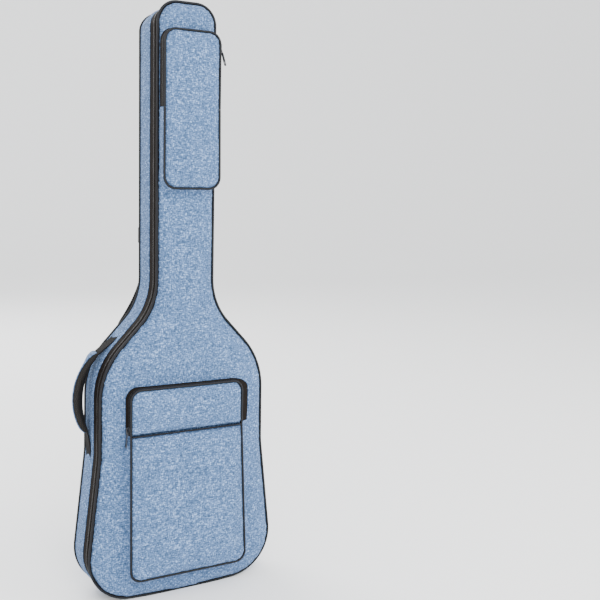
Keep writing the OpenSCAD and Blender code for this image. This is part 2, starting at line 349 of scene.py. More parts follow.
class BagOutline:
    """Outline of the bag as circles joined by straight tangent runs."""

    RIGHT = (
        Arc(18, 1006, 34, 1),
        Arc(168, 570, 116, -1),
        Arc(20, 362, 134, 1),
        Arc(307.5, 271, 152.7, -1),
        Arc(96, 83, 79, 1),
    )
    TOP = Arc(0, 440, 600, 1)
    BOTTOM = Arc(0, 1200, 1200, 1)

    def __init__(self) -> None:
        """Work out the outline once."""
        left = [a.mirrored() for a in reversed(self.RIGHT)]
        self.arcs = [self.TOP, *self.RIGHT, self.BOTTOM, *left]
        self.points = self._trace()

    @staticmethod
    def _leave(a: Arc, b: Arc) -> float:
        """Angle at which the straight run from circle a to b touches both."""
        dx, dz = b.x - a.x, b.z - a.z
        c = (a.side * a.r - b.side * b.r) / math.hypot(dx, dz)
        return math.atan2(dz, dx) + math.acos(min(1.0, max(-1.0, c)))

    def _trace(self) -> np.ndarray:
        """Points of the outline, clockwise from the top."""
        n = len(self.arcs)
        leave = [self._leave(self.arcs[i], self.arcs[(i + 1) % n]) for i in range(n)]
        turn = 2 * math.pi
        points = []
        for i, arc in enumerate(self.arcs):
            a0, a1 = leave[i - 1], leave[i]
            sweep = -((a0 - a1 + 1e-6) % turn) if arc.side > 0 else (a1 - a0 + 1e-6) % turn
            for k in range(25):
                a = a0 + sweep * k / 24
                r = arc.side * arc.r
                points.append((arc.x + r * math.cos(a), arc.z + r * math.sin(a)))
        return np.array(points)

    def closed(self, step: float) -> np.ndarray:
        """The whole outline at an even spacing."""
        return resample(self.points, step, True)

    def run(
        self, start: tuple[float, float], end: tuple[float, float], step: float, clockwise: bool
    ) -> np.ndarray:
        """Part of the outline between the points nearest to two given ones.

        Args:
            start: Where the part begins, in x and z.
            end: Where it ends.
            step: Spacing of its points.
            clockwise: Which way round it goes.

        Returns:
            Points in x and z.
        """
        ring = resample(self.points, 1.0, True)
        i = int(np.argmin(np.linalg.norm(ring - np.array(start), axis=1)))
        j = int(np.argmin(np.linalg.norm(ring - np.array(end), axis=1)))
        if not clockwise:
            ring = ring[::-1]
            i, j = len(ring) - 1 - i, len(ring) - 1 - j
        ring = np.roll(ring, -i, 0)
        return resample(ring[: (j - i) % len(ring) + 1], step, False)


def outward(path: np.ndarray, closed: bool, inside: tuple[float, float]) -> np.ndarray:
    """Unit normals of a flat line, pointing away from its inside.

    Args:
        path: Points in x and z.
        closed: Whether the last point joins the first.
        inside: A point on the inner side of the first stretch.

    Returns:
        One normal for each point.
    """
    t = tangents(path, closed)
    normals = np.stack([t[:, 1], -t[:, 0]], 1)
    signs = ((path - np.array(inside)) * normals).sum(1)
    return normals if (signs > 0).mean() > 0.5 else -normals


def band(
    name: str,
    path: np.ndarray,
    normals: np.ndarray,
    profile: Sequence[tuple[float, float]],
    closed: bool,
    ripple: float = 0.0,
    sharp: Optional[float] = 40.0,
    lean: Optional[Callable[[float, float, float], tuple[float, float]]] = None,
) -> bpy.types.Object:
    """Sweep a closed section along a flat line.

    Args:
        name: Name of the piece.
        path: Line in x and z.
        normals: Outward normals of the line.
        profile: Section as (outward offset, depth y).
        closed: Whether the line is a closed ring.
        ripple: Height of a soft random ripple on the surface.
        sharp: Angle past which an edge stays sharp.
        lean: Further outward offsets across and up, from (x, z, y).

    Returns:
        The swept piece.
    """
    grid = np.zeros((len(path), len(profile), 3))
    low = min(y for _, y in profile)
    high = max(y for _, y in profile)
    for j, (off, y) in enumerate(profile):
        out = np.full((len(path), 2), off)
        if lean:
            out = out + np.array([lean(x, z, y) for x, z in path])
        grid[:, j, 0] = path[:, 0] + normals[:, 0] * out[:, 0]
        grid[:, j, 1] = y
        grid[:, j, 2] = path[:, 1] + normals[:, 1] * out[:, 1]
        if ripple:
            inner = math.sin(math.pi * (y - low) / max(high - low, 1e-6))
            for i in range(len(path)):
                push = ripple * inner * (wobble(grid[i, j], 34.0, 3.1) + 0.5 * wobble(grid[i, j], 13.0, 9.7))
                grid[i, j, 0] += normals[i, 0] * push
                grid[i, j, 2] += normals[i, 1] * push
    return grid_object(name, grid, loop_rows=closed, sharp=sharp)


def round_section(off: float, y: float, radius: float, sides: int = 10) -> list[tuple[float, float]]:
    """A round section for a cord.

    Args:
        off: Offset of its middle from the line.
        y: Depth of its middle.
        radius: Its radius.
        sides: Number of its points.

    Returns:
        Points as (offset, depth).
    """
    return [
        (off + radius * math.cos(2 * math.pi * k / sides), y + radius * math.sin(2 * math.pi * k / sides))
        for k in range(sides)
    ]


def strip_section(
    y0: float, y1: float, top: Callable[[float], float], thick: float, count: int = 8
) -> list[tuple[float, float]]:
    """A flat section from y0 to y1 whose outer side follows ``top``.

    Args:
        y0: Depth at the front edge.
        y1: Depth at the rear edge.
        top: Offset of the outer side, from 0 at y0 to 1 at y1.
        thick: Thickness.
        count: Steps across the strip.

    Returns:
        Points as (offset, depth).
    """
    ys = [y0 + (y1 - y0) * k / count for k in range(count + 1)]
    outer = [(top((y - y0) / (y1 - y0)), y) for y in ys]
    return outer + [(off - thick, y) for off, y in reversed(outer)]


def ribbon_grid(
    centre: np.ndarray,
    across: np.ndarray,
    half: np.ndarray,
    thick: np.ndarray,
    power: float = 5.0,
    sides: int = 20,
) -> np.ndarray:
    """Points of a flat strap that follows a line in space.

    Args:
        centre: Middle line.
        across: Direction of the strap's width at each point.
        half: Half width at each point.
        thick: Thickness at each point.
        power: How square the section is; 2 is an ellipse.
        sides: Points round the section.

    Returns:
        A grid for ``grid_object``.
    """
    t = tangents(centre, False)
    w = unit(across - t * (across * t).sum(1, keepdims=True))
    n = np.cross(w, t)
    grid = np.zeros((len(centre), sides, 3))
    for k in range(sides):
        a = 2 * math.pi * (k + 0.5) / sides
        ca, sa = math.cos(a), math.sin(a)
        u = math.copysign(abs(ca) ** (2 / power), ca)
        v = math.copysign(abs(sa) ** (2 / power), sa)
        grid[:, k] = centre + w * (half * u)[:, None] + n * (thick / 2 * v)[:, None]
    return grid


# ---- cushions ----------------------------------------------------------


def edge_distance(points: np.ndarray, ring: np.ndarray) -> np.ndarray:
    """Distance of each point to a closed line.

    Args:
        points: Points in x and z.
        ring: Corners of the closed line.

    Returns:
        One distance for each point.
    """
    a, b = ring, np.roll(ring, -1, 0)
    ab = b - a
    out = np.full(len(points), 1e9)
    for k in range(len(ring)):
        ap = points - a[k]
        t = np.clip(ap @ ab[k] / max(float(ab[k] @ ab[k]), 1e-9), 0, 1)
        out = np.minimum(out, np.linalg.norm(ap - t[:, None] * ab[k], axis=1))
    return out


def cushion(
    name: str,
    ring: np.ndarray,
    outer: Callable[[float, float, float], float],
    inner: Callable[[float, float, float], float],
    step: float,
    puff: float = 0.0,
    pressure: float = 4.0,
) -> bpy.types.Object:
    """A closed padded panel over a flat outline.

    Args:
        name: Name of the piece.
        ring: Outline in x and z, evenly spaced.
        outer: Depth y of the outer skin from (edge distance, x, z).
        inner: Depth y of the inner skin from the same.
        step: Spacing of the inner points.
        puff: Most that the cloth simulation may move a point.
        pressure: Air pressure of the simulation.

    Returns:
        The panel.
    """
    lo, hi = ring.min(0), ring.max(0)
    xs = np.arange(lo[0] + step / 2, hi[0], step)
    zs = np.arange(lo[1] + step / 2, hi[1], step * 0.866)
    grid = np.array([(x + (step / 2 if r % 2 else 0), z) for r, z in enumerate(zs) for x in xs])
    n = len(ring)
    edges = [(k, (k + 1) % n) for k in range(n)]
    near = edge_distance(grid, ring)
    everything = [Vector(p) for p in ring] + [Vector(p) for p, d in zip(grid, near) if d > step * 0.45]
    verts, _, faces, *_ = delaunay_2d_cdt(everything, edges, [list(range(n))], 1, 1e-4)
    flat = np.array([tuple(v) for v in verts])
    d = edge_distance(flat, ring)
    rim = d < 1e-3
    index = np.zeros(len(flat), int)
    top = np.array([(x, outer(float(dd), x, z), z) for (x, z), dd in zip(flat, d)])
    low = np.array([(x, inner(float(dd), x, z), z) for (x, z), dd in zip(flat, d)])
    keep = ~rim
    index[rim] = np.nonzero(rim)[0]
    index[keep] = len(flat) + np.arange(keep.sum())
    points = np.vstack([top, low[keep]])
    skin = [tuple(f) for f in faces] + [tuple(int(index[v]) for v in reversed(f)) for f in faces]
    obj = new_object(name, points, skin)
    finish_mesh(obj, None)
    if puff:
        pump(obj, np.nonzero(rim)[0], puff, pressure)
    return obj


def pump(obj: bpy.types.Object, pinned: np.ndarray, cap: float, pressure: float) -> None:
    """Blow up a closed cloth piece a little and keep the result.

    Args:
        obj: The closed mesh.
        pinned: Points that stay where they are sewn.
        cap: Most that a point may move, in millimetres.
        pressure: Air pressure inside.
    """
    rest = np.array([v.co for v in obj.data.vertices])
    group = obj.vertex_groups.new(name="sewn")
    group.add([int(i) for i in pinned], 1.0, "REPLACE")
    cloth = obj.modifiers.new("cloth", "CLOTH")
    s = cloth.settings
    s.quality = 4
    s.mass = 0.25
    s.tension_stiffness = 12
    s.compression_stiffness = 12
    s.bending_stiffness = 0.4
    s.use_pressure = True
    s.uniform_pressure_force = pressure
    s.shrink_min = -0.012
    s.effector_weights.gravity = 0
    s.vertex_group_mass = "sewn"
    cloth.point_cache.frame_start = 1
    cloth.point_cache.frame_end = 22
    scene = bpy.context.scene
    for f in range(1, 21):
        scene.frame_set(f)
    evaluated = obj.evaluated_get(bpy.context.evaluated_depsgraph_get())
    moved = np.array([v.co for v in evaluated.data.vertices])
    obj.modifiers.remove(cloth)
    scene.frame_set(1)
    obj.vertex_groups.clear()
    shift = moved - rest
    length = np.linalg.norm(shift, axis=1, keepdims=True)
    limit = cap * MM
    shift *= np.where(length > 1e-9, limit * np.tanh(length / limit) / np.maximum(length, 1e-9), 0)
    obj.data.vertices.foreach_set("co", (rest + shift).astype(np.float32).ravel())
    obj.data.update()


def subdivided(obj: bpy.types.Object, levels: int = 1) -> bpy.types.Object:
    """Apply a subdivision surface.

    Args:
        obj: Mesh to smooth.
        levels: Rounds of subdivision.

    Returns:
        The same object with the finer mesh.
    """
    mod = obj.modifiers.new("smooth", "SUBSURF")
    mod.levels = levels
    mod.render_levels = levels
    result = bpy.data.meshes.new_from_object(obj.evaluated_get(bpy.context.evaluated_depsgraph_get()))
    obj.modifiers.remove(mod)
    old, obj.data = obj.data, result
    result.name = obj.name
    bpy.data.meshes.remove(old)
    return obj


# ---- shading -----------------------------------------------------------


class Value:
    """A node socket that Python arithmetic can be written on."""

    def __init__(self, graph: "Graph", socket: bpy.types.NodeSocket) -> None:
        """Wrap one output socket of a graph."""
        self.graph = graph
        self.socket = socket

    def _math(self, operation: str, *others: object, clamp: bool = False) -> "Value":
        """One Math node on this value."""
        settings = {"operation": operation, "use_clamp": clamp}
        node = self.graph.node("ShaderNodeMath", settings, [self, *others])
        return Value(self.graph, node.outputs[0])

    def __add__(self, other: object) -> "Value":
        """Sum."""
        return self._math("ADD", other)

    __radd__ = __add__

    def __mul__(self, other: object) -> "Value":
        """Product."""
        return self._math("MULTIPLY", other)

    __rmul__ = __mul__

    def __sub__(self, other: object) -> "Value":
        """Difference."""
        return self._math("SUBTRACT", other)

    def __rsub__(self, other: object) -> "Value":
        """Reflected difference."""
        node = self.graph.node("ShaderNodeMath", {"operation": "SUBTRACT"}, [other, self])
        return Value(self.graph, node.outputs[0])

    def __truediv__(self, other: object) -> "Value":
        """Quotient."""
        return self._math("DIVIDE", other)

    def sine(self) -> "Value":
        """Sine of the value."""
        return self._math("SINE")

    def step(self, low: float, high: float) -> "Value":
        """Smooth 0 to 1 as the value goes from low to high."""
        node = self.graph.node(
            "ShaderNodeMapRange", {"interpolation_type": "SMOOTHSTEP"}, [self, low, high, 0.0, 1.0]
        )
        return Value(self.graph, node.outputs[0])


class Graph:
    """A material whose nodes are written as Python expressions."""

    def __init__(self, name: str) -> None:
        """Start an empty material."""
        self.material = bpy.data.materials.new(name)
        self.material.use_nodes = True
        self.tree = self.material.node_tree
        self.tree.nodes.clear()
        self.shader = self.node("ShaderNodeBsdfPrincipled")
        out = self.node("ShaderNodeOutputMaterial")
        self.tree.links.new(self.shader.outputs[0], out.inputs["Surface"])

    def node(self, kind: str, settings: Optional[dict] = None, values: object = ()) -> bpy.types.Node:
        """Add one node.

        Args:
            kind: The node's type.
            settings: Its own properties, set before its sockets.
            values: Values or links of its inputs, by order or by name.

        Returns:
            The node.
        """
        node = self.tree.nodes.new(kind)
        for key, value in (settings or {}).items():
            setattr(node, key, value)
        pairs = values.items() if isinstance(values, dict) else enumerate(values)
        for key, value in pairs:
            self.feed(node.inputs[key], value)
        return node

    def feed(self, socket: bpy.types.NodeSocket, value: object) -> None:
        """Link or set one input socket."""
        if isinstance(value, Value):
            self.tree.links.new(value.socket, socket)
        elif isinstance(value, bpy.types.NodeSocket):
            self.tree.links.new(value, socket)
        else:
            socket.default_value = value

    def position(self, scale: Sequence[float]) -> bpy.types.NodeSocket:
        """Object position, scaled on each axis."""
        where = self.node("ShaderNodeTexCoord")
        values = {"Vector": where.outputs["Object"], "Scale": tuple(scale)}
        mapping = self.node("ShaderNodeMapping", {}, values)
        return mapping.outputs[0]

    def axes(self, uv: bool) -> list[Value]:
        """The single coordinates of the object position or of the UV map."""
        where = self.node("ShaderNodeTexCoord")
        parts = self.node("ShaderNodeSeparateXYZ", {}, [where.outputs["UV" if uv else "Object"]])
        return [Value(self, s) for s in parts.outputs]

    def grain(self, scale: Sequence[float], detail: float = 2.0, rough: float = 0.5) -> Value:
        """Noise at a scale given for each axis, in cycles per metre.

        Args:
            scale: Cycles per metre on each axis.
            detail: Octaves of the noise.
            rough: How strong the finer octaves are.

        Returns:
            The noise, about 0 to 1.
        """
        node = self.node(
            "ShaderNodeTexNoise",
            {},
            {"Vector": self.position(scale), "Scale": 1.0, "Detail": detail, "Roughness": rough},
        )
        return Value(self, node.outputs["Fac"])

    def ramp(self, value: Value, stops: Sequence[tuple[float, Sequence[float]]]) -> bpy.types.NodeSocket:
        """Colour ramp over a value.

        Args:
            value: Value that picks the colour.
            stops: Places and colours along the ramp.

        Returns:
            The colour output.
        """
        node = self.node("ShaderNodeValToRGB", {}, [value])
        ramp = node.color_ramp
        while len(ramp.elements) < len(stops):
            ramp.elements.new(0.5)
        for element, (at, colour) in zip(ramp.elements, stops):
            element.position = at
            element.color = (*colour, 1.0)
        return node.outputs[0]

    def bump(self, height: Value, strength: float, distance: float) -> None:
        """Raise the surface by a height value; distance is in metres.

        Args:
            height: Height of the surface.
            strength: Share of the height that shows.
            distance: Height of 1 in metres.
        """
        node = self.node(
            "ShaderNodeBump", {}, {"Strength": strength, "Distance": distance, "Height": height}
        )
        self.feed(self.shader.inputs["Normal"], node.outputs[0])


@dataclass(frozen=True)
class Finish:
    """A finish that knows how to make its own material."""

    name: str

    def make(self) -> bpy.types.Material:
        """Build the material."""
        raise NotImplementedError


@dataclass(frozen=True)
class HeatherCloth(Finish):
    """Slubby two-tone canvas."""

    dark: tuple[float, float, float] = (0.030, 0.062, 0.125)
    base: tuple[float, float, float] = (0.072, 0.136, 0.270)
    light: tuple[float, float, float] = (0.300, 0.450, 0.740)

    def make(self) -> bpy.types.Material:
        """Build the material."""
        g = Graph(self.name)
        upright = g.grain((640, 640, 210), 2.0, 0.6)
        level = g.grain((200, 200, 640), 2.0, 0.6)
        slub = g.grain((80, 80, 380), 2.0, 0.6)
        patch = g.grain((20, 20, 30), 2.0, 0.5)
        mix = upright * 0.50 + level * 0.58 + slub * 0.14 + patch * 0.04 - 0.13
        colour = g.ramp(
            mix, [(0.38, self.dark), (0.49, self.base), (0.53, self.base), (0.66, self.light)]
        )
        g.feed(g.shader.inputs["Base Color"], colour)
        x, y, z = g.axes(False)
        pitch = 2 * math.pi / 0.0011
        weave = (x * pitch).sine() * (z * pitch).sine() + (y * pitch).sine() * (z * pitch).sine()
        g.bump(weave * 0.25 + upright * 0.8 + level * 0.8, 0.55, 0.0007)
        g.feed(g.shader.inputs["Roughness"], 0.88)
        g.feed(g.shader.inputs["Specular IOR Level"], 0.2)
        g.feed(g.shader.inputs["Sheen Weight"], 0.06)
        g.feed(g.shader.inputs["Sheen Roughness"], 0.5)
        return g.material


@dataclass(frozen=True)
class RibbedWebbing(Finish):
    """Woven tape with ribs across it."""

    colour: tuple[float, float, float] = (0.0035, 0.0032, 0.0031)
    light: tuple[float, float, float] = (0.0130, 0.0120, 0.0115)
    rib: float = 0.0016
    across: float = 0.0022

    def make(self) -> bpy.types.Material:
        """Build the material."""
        g = Graph(self.name)
        u, v, _ = g.axes(True)
        ribs = (v * (2 * math.pi / self.rib)).sine() * 0.5 + 0.5
        columns = (u * (2 * math.pi / self.across)).sine() * 0.5 + 0.5
        wear = g.grain((260, 260, 260), 3.0, 0.6)
        height = ribs * 0.55 + columns * 0.45
        g.feed(
            g.shader.inputs["Base Color"],
            g.ramp(height * 0.5 + wear * 0.6 - 0.05, [(0.25, self.colour), (0.85, self.light)]),
        )
        g.bump(height, 0.7, 0.0005)
        g.feed(g.shader.inputs["Roughness"], 0.85)
        g.feed(g.shader.inputs["Specular IOR Level"], 0.12)
        return g.material


@dataclass(frozen=True)
class TwillTape(RibbedWebbing):
    """Zipper tape with a fine slanting weave."""

    colour: tuple[float, float, float] = (0.0030, 0.0020, 0.0016)
    light: tuple[float, float, float] = (0.0105, 0.0070, 0.0055)

    def make(self) -> bpy.types.Material:
        """Build the material."""
        g = Graph(self.name)
        u, v, _ = g.axes(True)
        slant = ((u + v) * (2 * math.pi / 0.0013)).sine() * 0.5 + 0.5
        wear = g.grain((200, 200, 200), 3.0, 0.6)
        streak = g.grain((40, 700, 40), 2.0, 0.5)
        g.feed(
            g.shader.inputs["Base Color"],
            g.ramp(slant * 0.3 + wear * 0.4 + streak * 0.35, [(0.3, self.colour), (0.8, self.light)]),
        )
        g.bump(slant, 0.5, 0.0003)
        g.feed(g.shader.inputs["Roughness"], 0.8)
        g.feed(g.shader.inputs["Specular IOR Level"], 0.12)
        return g.material


@dataclass(frozen=True)
class SpacerMesh(Finish):
    """Open knitted mesh with a dot pattern."""

    def make(self) -> bpy.types.Material:
        """Build the material."""
        g = Graph(self.name)
        u, v, _ = g.axes(True)
        pitch = 2 * math.pi / 0.0034
        a = (u * pitch + v * pitch * 0.5).sine() * 0.5 + 0.5
        b = (u * pitch - v * pitch * 0.5).sine() * 0.5 + 0.5
        hole = (a * b).step(0.45, 0.75)
        stops = [(0.1, (0.004, 0.004, 0.0045)), (0.9, (0.035, 0.026, 0.018))]
        g.feed(g.shader.inputs["Base Color"], g.ramp(hole + g.grain((300, 300, 300)) * 0.2, stops))
        g.bump(1 - hole, 0.8, 0.0008)
        g.feed(g.shader.inputs["Roughness"], 0.8)
        g.feed(g.shader.inputs["Specular IOR Level"], 0.25)
        return g.material


@dataclass(frozen=True)
class SoftDark(Finish):
    """Dark cloth with a fine grain, for piping, lining and thread."""

    colour: tuple[float, float, float] = (0.0020, 0.0024, 0.0036)
    light: tuple[float, float, float] = (0.0070, 0.0080, 0.0110)
    rough: float = 0.6
    grain: float = 700.0

    def make(self) -> bpy.types.Material:
        """Build the material."""
        g = Graph(self.name)
        fibre = g.grain((self.grain, self.grain, self.grain), 2.0, 0.6)
        g.feed(g.shader.inputs["Base Color"], g.ramp(fibre, [(0.35, self.colour), (0.7, self.light)]))
        g.bump(fibre, 0.35, 0.0003)
        g.feed(g.shader.inputs["Roughness"], self.rough)
        g.feed(g.shader.inputs["Specular IOR Level"], 0.25)
        return g.material


@dataclass(frozen=True)
class Hard(Finish):
    """Moulded plastic or plated metal with faint wear."""

    colour: tuple[float, float, float] = (0.02, 0.02, 0.022)
    light: tuple[float, float, float] = (0.04, 0.04, 0.045)
    metallic: float = 0.0
    rough: tuple[float, float] = (0.28, 0.45)
    specular: float = 0.5

    def make(self) -> bpy.types.Material:
        """Build the material."""
        g = Graph(self.name)
        worn = g.grain((150, 150, 150), 4.0, 0.6)
        fine = g.grain((1500, 1500, 1500), 2.0, 0.5)
        g.feed(g.shader.inputs["Base Color"], g.ramp(worn, [(0.3, self.colour), (0.8, self.light)]))
        g.feed(g.shader.inputs["Metallic"], self.metallic)
        low, high = self.rough
        g.feed(g.shader.inputs["Roughness"], worn * (high - low) + low)
        g.feed(g.shader.inputs["Specular IOR Level"], self.specular)
        g.bump(fine, 0.15, 0.0001)
        return g.material


class Wardrobe:
    """Makes each finish once and dresses pieces in it."""

    def __init__(self) -> None:
        """List the finishes by slot."""
        self.finishes: dict[Slot, Finish] = {
            Slot.CLOTH: HeatherCloth("heather_cloth"),
            Slot.LINING: SoftDark("lining_cloth", (0.006, 0.0065, 0.007), (0.020, 0.021, 0.023), 0.75, 420.0),
            Slot.PIPING: SoftDark("piping_cord"),
            Slot.TAPE: TwillTape("zip_tape"),
            Slot.COIL: Hard("zip_coil", (0.005, 0.0045, 0.0043), (0.013, 0.012, 0.011), 0.0, (0.35, 0.5)),
            Slot.WEBBING: RibbedWebbing("webbing"),
            Slot.MESH: SpacerMesh("spacer_mesh"),
            Slot.PLASTIC: Hard(
                "buckle_plastic", (0.005, 0.0053, 0.006), (0.014, 0.0145, 0.016), specular=0.22
            ),
            Slot.METAL: Hard("gunmetal", (0.05, 0.05, 0.052), (0.13, 0.13, 0.135), 0.9, (0.22, 0.38)),
        }
        self.made: dict[Slot, bpy.types.Material] = {}

    def material(self, slot: Slot) -> bpy.types.Material:
        """The material of a slot."""
        if slot not in self.made:
            self.made[slot] = self.finishes[slot].make()
        return self.made[slot]

    def dress(
        self,
        obj: bpy.types.Object,
        slot: Slot,
        replaced: Sequence[str] = (),
        body: Optional[str] = None,
        fill: Optional[float] = None,
    ) -> bpy.types.Object:
        """Give a piece the material of its slot, hide the CAD nodes that it replaces and hang it on its body.

        Args:
            obj: The finished piece.
            slot: Its material slot.
            replaced: CAD nodes that it stands for.
            body: Body that it rides on, or None.
            fill: Not used.

        Returns:
            The same object.
        """
        obj.data.materials.clear()
        obj.data.materials.append(self.material(slot))
        if replaced:
            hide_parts(*replaced)
        if body:
            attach(obj, body)
        LOG.info("%s: %d faces", obj.name, len(obj.data.polygons))
        return obj


# ---- repeated details --------------------------------------------------


class Repeat(Enum):
    """What a run of repeated details is made of."""

    STITCH = "stitch"
    TOOTH = "tooth"


class DetailRun:
    """Stitches or zipper teeth that follow lines, by Geometry Nodes."""

    def __init__(self, kind: Repeat, material: bpy.types.Material) -> None:
        """Build the node tree for one kind of detail."""
        self.tree = bpy.data.node_groups.new(f"{kind.value}_run", "GeometryNodeTree")
        face = self.tree.interface
        face.new_socket("Geometry", in_out="INPUT", socket_type="NodeSocketGeometry")
        pitch = face.new_socket("Pitch", in_out="INPUT", socket_type="NodeSocketFloat")
        size = face.new_socket("Size", in_out="INPUT", socket_type="NodeSocketVector")
        face.new_socket("Geometry", in_out="OUTPUT", socket_type="NodeSocketGeometry")
        self.pitch, self.size = pitch.identifier, size.identifier
        new, link = self.tree.nodes.new, self.tree.links.new
        source, sink = new("NodeGroupInput"), new("NodeGroupOutput")
        curve = new("GeometryNodeMeshToCurve")
        points = new("GeometryNodeCurveToPoints")
        points.mode = "LENGTH"
        ball = new("GeometryNodeMeshIcoSphere")
        ball.inputs["Radius"].default_value = 0.5
        ball.inputs["Subdivisions"].default_value = 1
        shape = new("GeometryNodeTransform")
        spread = new("GeometryNodeInstanceOnPoints")
        real = new("GeometryNodeRealizeInstances")
        smooth = new("GeometryNodeSetShadeSmooth")
        paint = new("GeometryNodeSetMaterial")
        paint.inputs["Material"].default_value = material
        link(source.outputs["Geometry"], curve.inputs[0])
        link(curve.outputs[0], points.inputs["Curve"])
        link(source.outputs["Pitch"], points.inputs["Length"])
        link(ball.outputs["Mesh"], shape.inputs["Geometry"])
        link(source.outputs["Size"], shape.inputs["Scale"])
        link(points.outputs["Points"], spread.inputs["Points"])
        link(shape.outputs[0], spread.inputs["Instance"])
        if kind is Repeat.STITCH:
            link(points.outputs["Rotation"], spread.inputs["Rotation"])
        link(spread.outputs[0], real.inputs[0])
        link(real.outputs[0], smooth.inputs[0])
        link(smooth.outputs[0], paint.inputs["Geometry"])
        link(paint.outputs[0], sink.inputs[0])

    def along(
        self,
        name: str,
        lines: Sequence[np.ndarray],
        pitch: float,
        size: Sequence[float],
        closed: bool = False,
    ) -> bpy.types.Object:
        """Lay the detail along some lines.

        Args:
            name: Name of the piece.
            lines: Lines in the maker's frame.
            pitch: Spacing in millimetres.
            size: Width, width and length of one detail in millimetres.
            closed: Whether each line is a ring.

        Returns:
            One plain mesh with every detail.
        """
        verts: list[np.ndarray] = []
        edges: list[tuple[int, int]] = []
        for line in lines:
            base = len(verts)
            verts.extend(to_row(line))
            edges += [(base + k, base + k + 1) for k in range(len(line) - 1)]
            if closed:
                edges.append((base + len(line) - 1, base))
        mesh = bpy.data.meshes.new(name)
        mesh.from_pydata([tuple(v) for v in verts], edges, [])
        obj = bpy.data.objects.new(name, mesh)
        bpy.context.scene.collection.objects.link(obj)
        mod = obj.modifiers.new("details", "NODES")
        mod.node_group = self.tree
        mod[self.pitch] = pitch * MM
        mod[self.size] = tuple(s * MM for s in size)
        result = bpy.data.meshes.new_from_object(obj.evaluated_get(bpy.context.evaluated_depsgraph_get()))
        obj.modifiers.remove(mod)
        obj.data = result
        result.name = name
        return obj


# ---- sub-assemblies ----------------------------------------------------


@dataclass
class Workshop:
    """What every sub-assembly needs to build its pieces."""

    wardrobe: Wardrobe
    outline: BagOutline
    thread: DetailRun
    teeth: DetailRun

    def stitches(
        self,
        name: str,
        lines: Sequence[np.ndarray],
        body: str,
        pitch: float = 4.2,
        closed: bool = False,
    ) -> bpy.types.Object:
        """A run of thread stitches that rides on a body.

        Args:
            name: Name of the piece.
            lines: Seams in the maker's frame.
            body: Body that the stitches ride on.
            pitch: Spacing of the stitches.
            closed: Whether each seam is a ring.

        Returns:
            The stitches as one mesh.
        """
        obj = self.thread.along(name, lines, pitch, STITCH, closed)
        return self.wardrobe.dress(obj, Slot.PIPING, body=body)


def pillow(edge: float, reach: float, crown: float, spread: float) -> Callable[[float], float]:
    """Height of a padded panel over the distance to its edge.

    Args:
        edge: Height reached close to the edge.
        reach: Distance over which it is reached.
        crown: Further rise towards the middle.
        spread: Distance over which the crown rises.

    Returns:
        A function of the edge distance.
    """

    def height(d: float) -> float:
        """Height at one edge distance."""
        q = min(d / reach, 1.0)
        w = min(d / spread, 1.0)
        return edge * math.sqrt(max(0.0, 1 - (1 - q) ** 2)) + crown * (1 - (1 - w) ** 2)

    return height


@dataclass
class Panels:
    """The front and back panels with their linings and piping."""

    shop: Workshop
    step: float = 6.5
    edge: float = 9.6
    reach: float = 15.0
    front_crown: float = 7.0
    front_spread: float = 85.0
    front_puff: float = 0.7
    back_crown: float = 2.6
    back_spread: float = 70.0
    back_puff: float = 2.6
    seam: float = 1.0
    fold_inset: float = 3.2
    zip_inset: float = 1.2
    back_inset: float = 5.6

    def build(self) -> None:
        """Make both panels."""
        ring = self.shop.outline.closed(6.0)
        inward = ring - outward(ring, True, MIDDLE) * 0.8
        rise = pillow(self.edge, self.reach, self.back_crown, self.back_spread)
        dome = pillow(self.edge, self.reach, self.front_crown, self.front_spread)
        dress = self.shop.wardrobe.dress

        def front(d: float, x: float, z: float) -> float:
            """Outer skin of the front panel."""
            return -self.seam - dome(d)

        def back(d: float, x: float, z: float) -> float:
            """Outer skin of the back panel."""
            return SIZES.depth + self.seam + rise(d)

        panel = cushion(
            "front_panel", inward, front, lambda d, x, z: -self.seam, self.step, self.front_puff
        )
        dress(subdivided(panel), Slot.CLOTH, ["front_cloth", "front_foam"], "lid", 0.55)
        panel = cushion(
            "back_panel", inward, back, lambda d, x, z: SIZES.depth + self.seam, self.step, self.back_puff
        )
        dress(subdivided(panel), Slot.CLOTH, ["back_cloth", "back_foam"], "shell", 0.55)
        sides = outward(ring, True, MIDDLE)
        soft = pillow(1.2, 12.0, 1.2, 60.0)
        folded = self.shop.outline.run(SIZES.zip_top, SIZES.zip_bottom, 4.0, True)
        gap = np.linalg.norm(ring[:, None] - folded[None], axis=2).min(1)
        inset = np.where(gap < 7.0, self.fold_inset, self.zip_inset)[:, None]
        lining = cushion(
            "front_lining_cloth",
            ring - sides * inset,
            lambda d, x, z: -0.9,
            lambda d, x, z: 0.2 + soft(d),
            9.0,
        )
        dress(lining, Slot.LINING, ["front_lining"], "lid", 0.2)
        lining = cushion(
            "back_lining_cloth",
            ring - sides * self.back_inset,
            lambda d, x, z: SIZES.depth + 0.9,
            lambda d, x, z: SIZES.depth - 0.2 - soft(d),
            9.0,
        )
        dress(lining, Slot.LINING, ["back_lining"], "shell", 0.2)
        path = self.shop.outline.closed(4.0)
        normals = outward(path, True, MIDDLE)
        for name, y, node, body in (
            ("front_piping_cord", -1.4, "front_piping", "lid"),
            ("back_piping_cord", SIZES.depth + 1.4, "back_piping", "shell"),
        ):
            cord = band(name, path, normals, round_section(0.8, y, SIZES.piping), True)
            dress(cord, Slot.PIPING, [node], body)


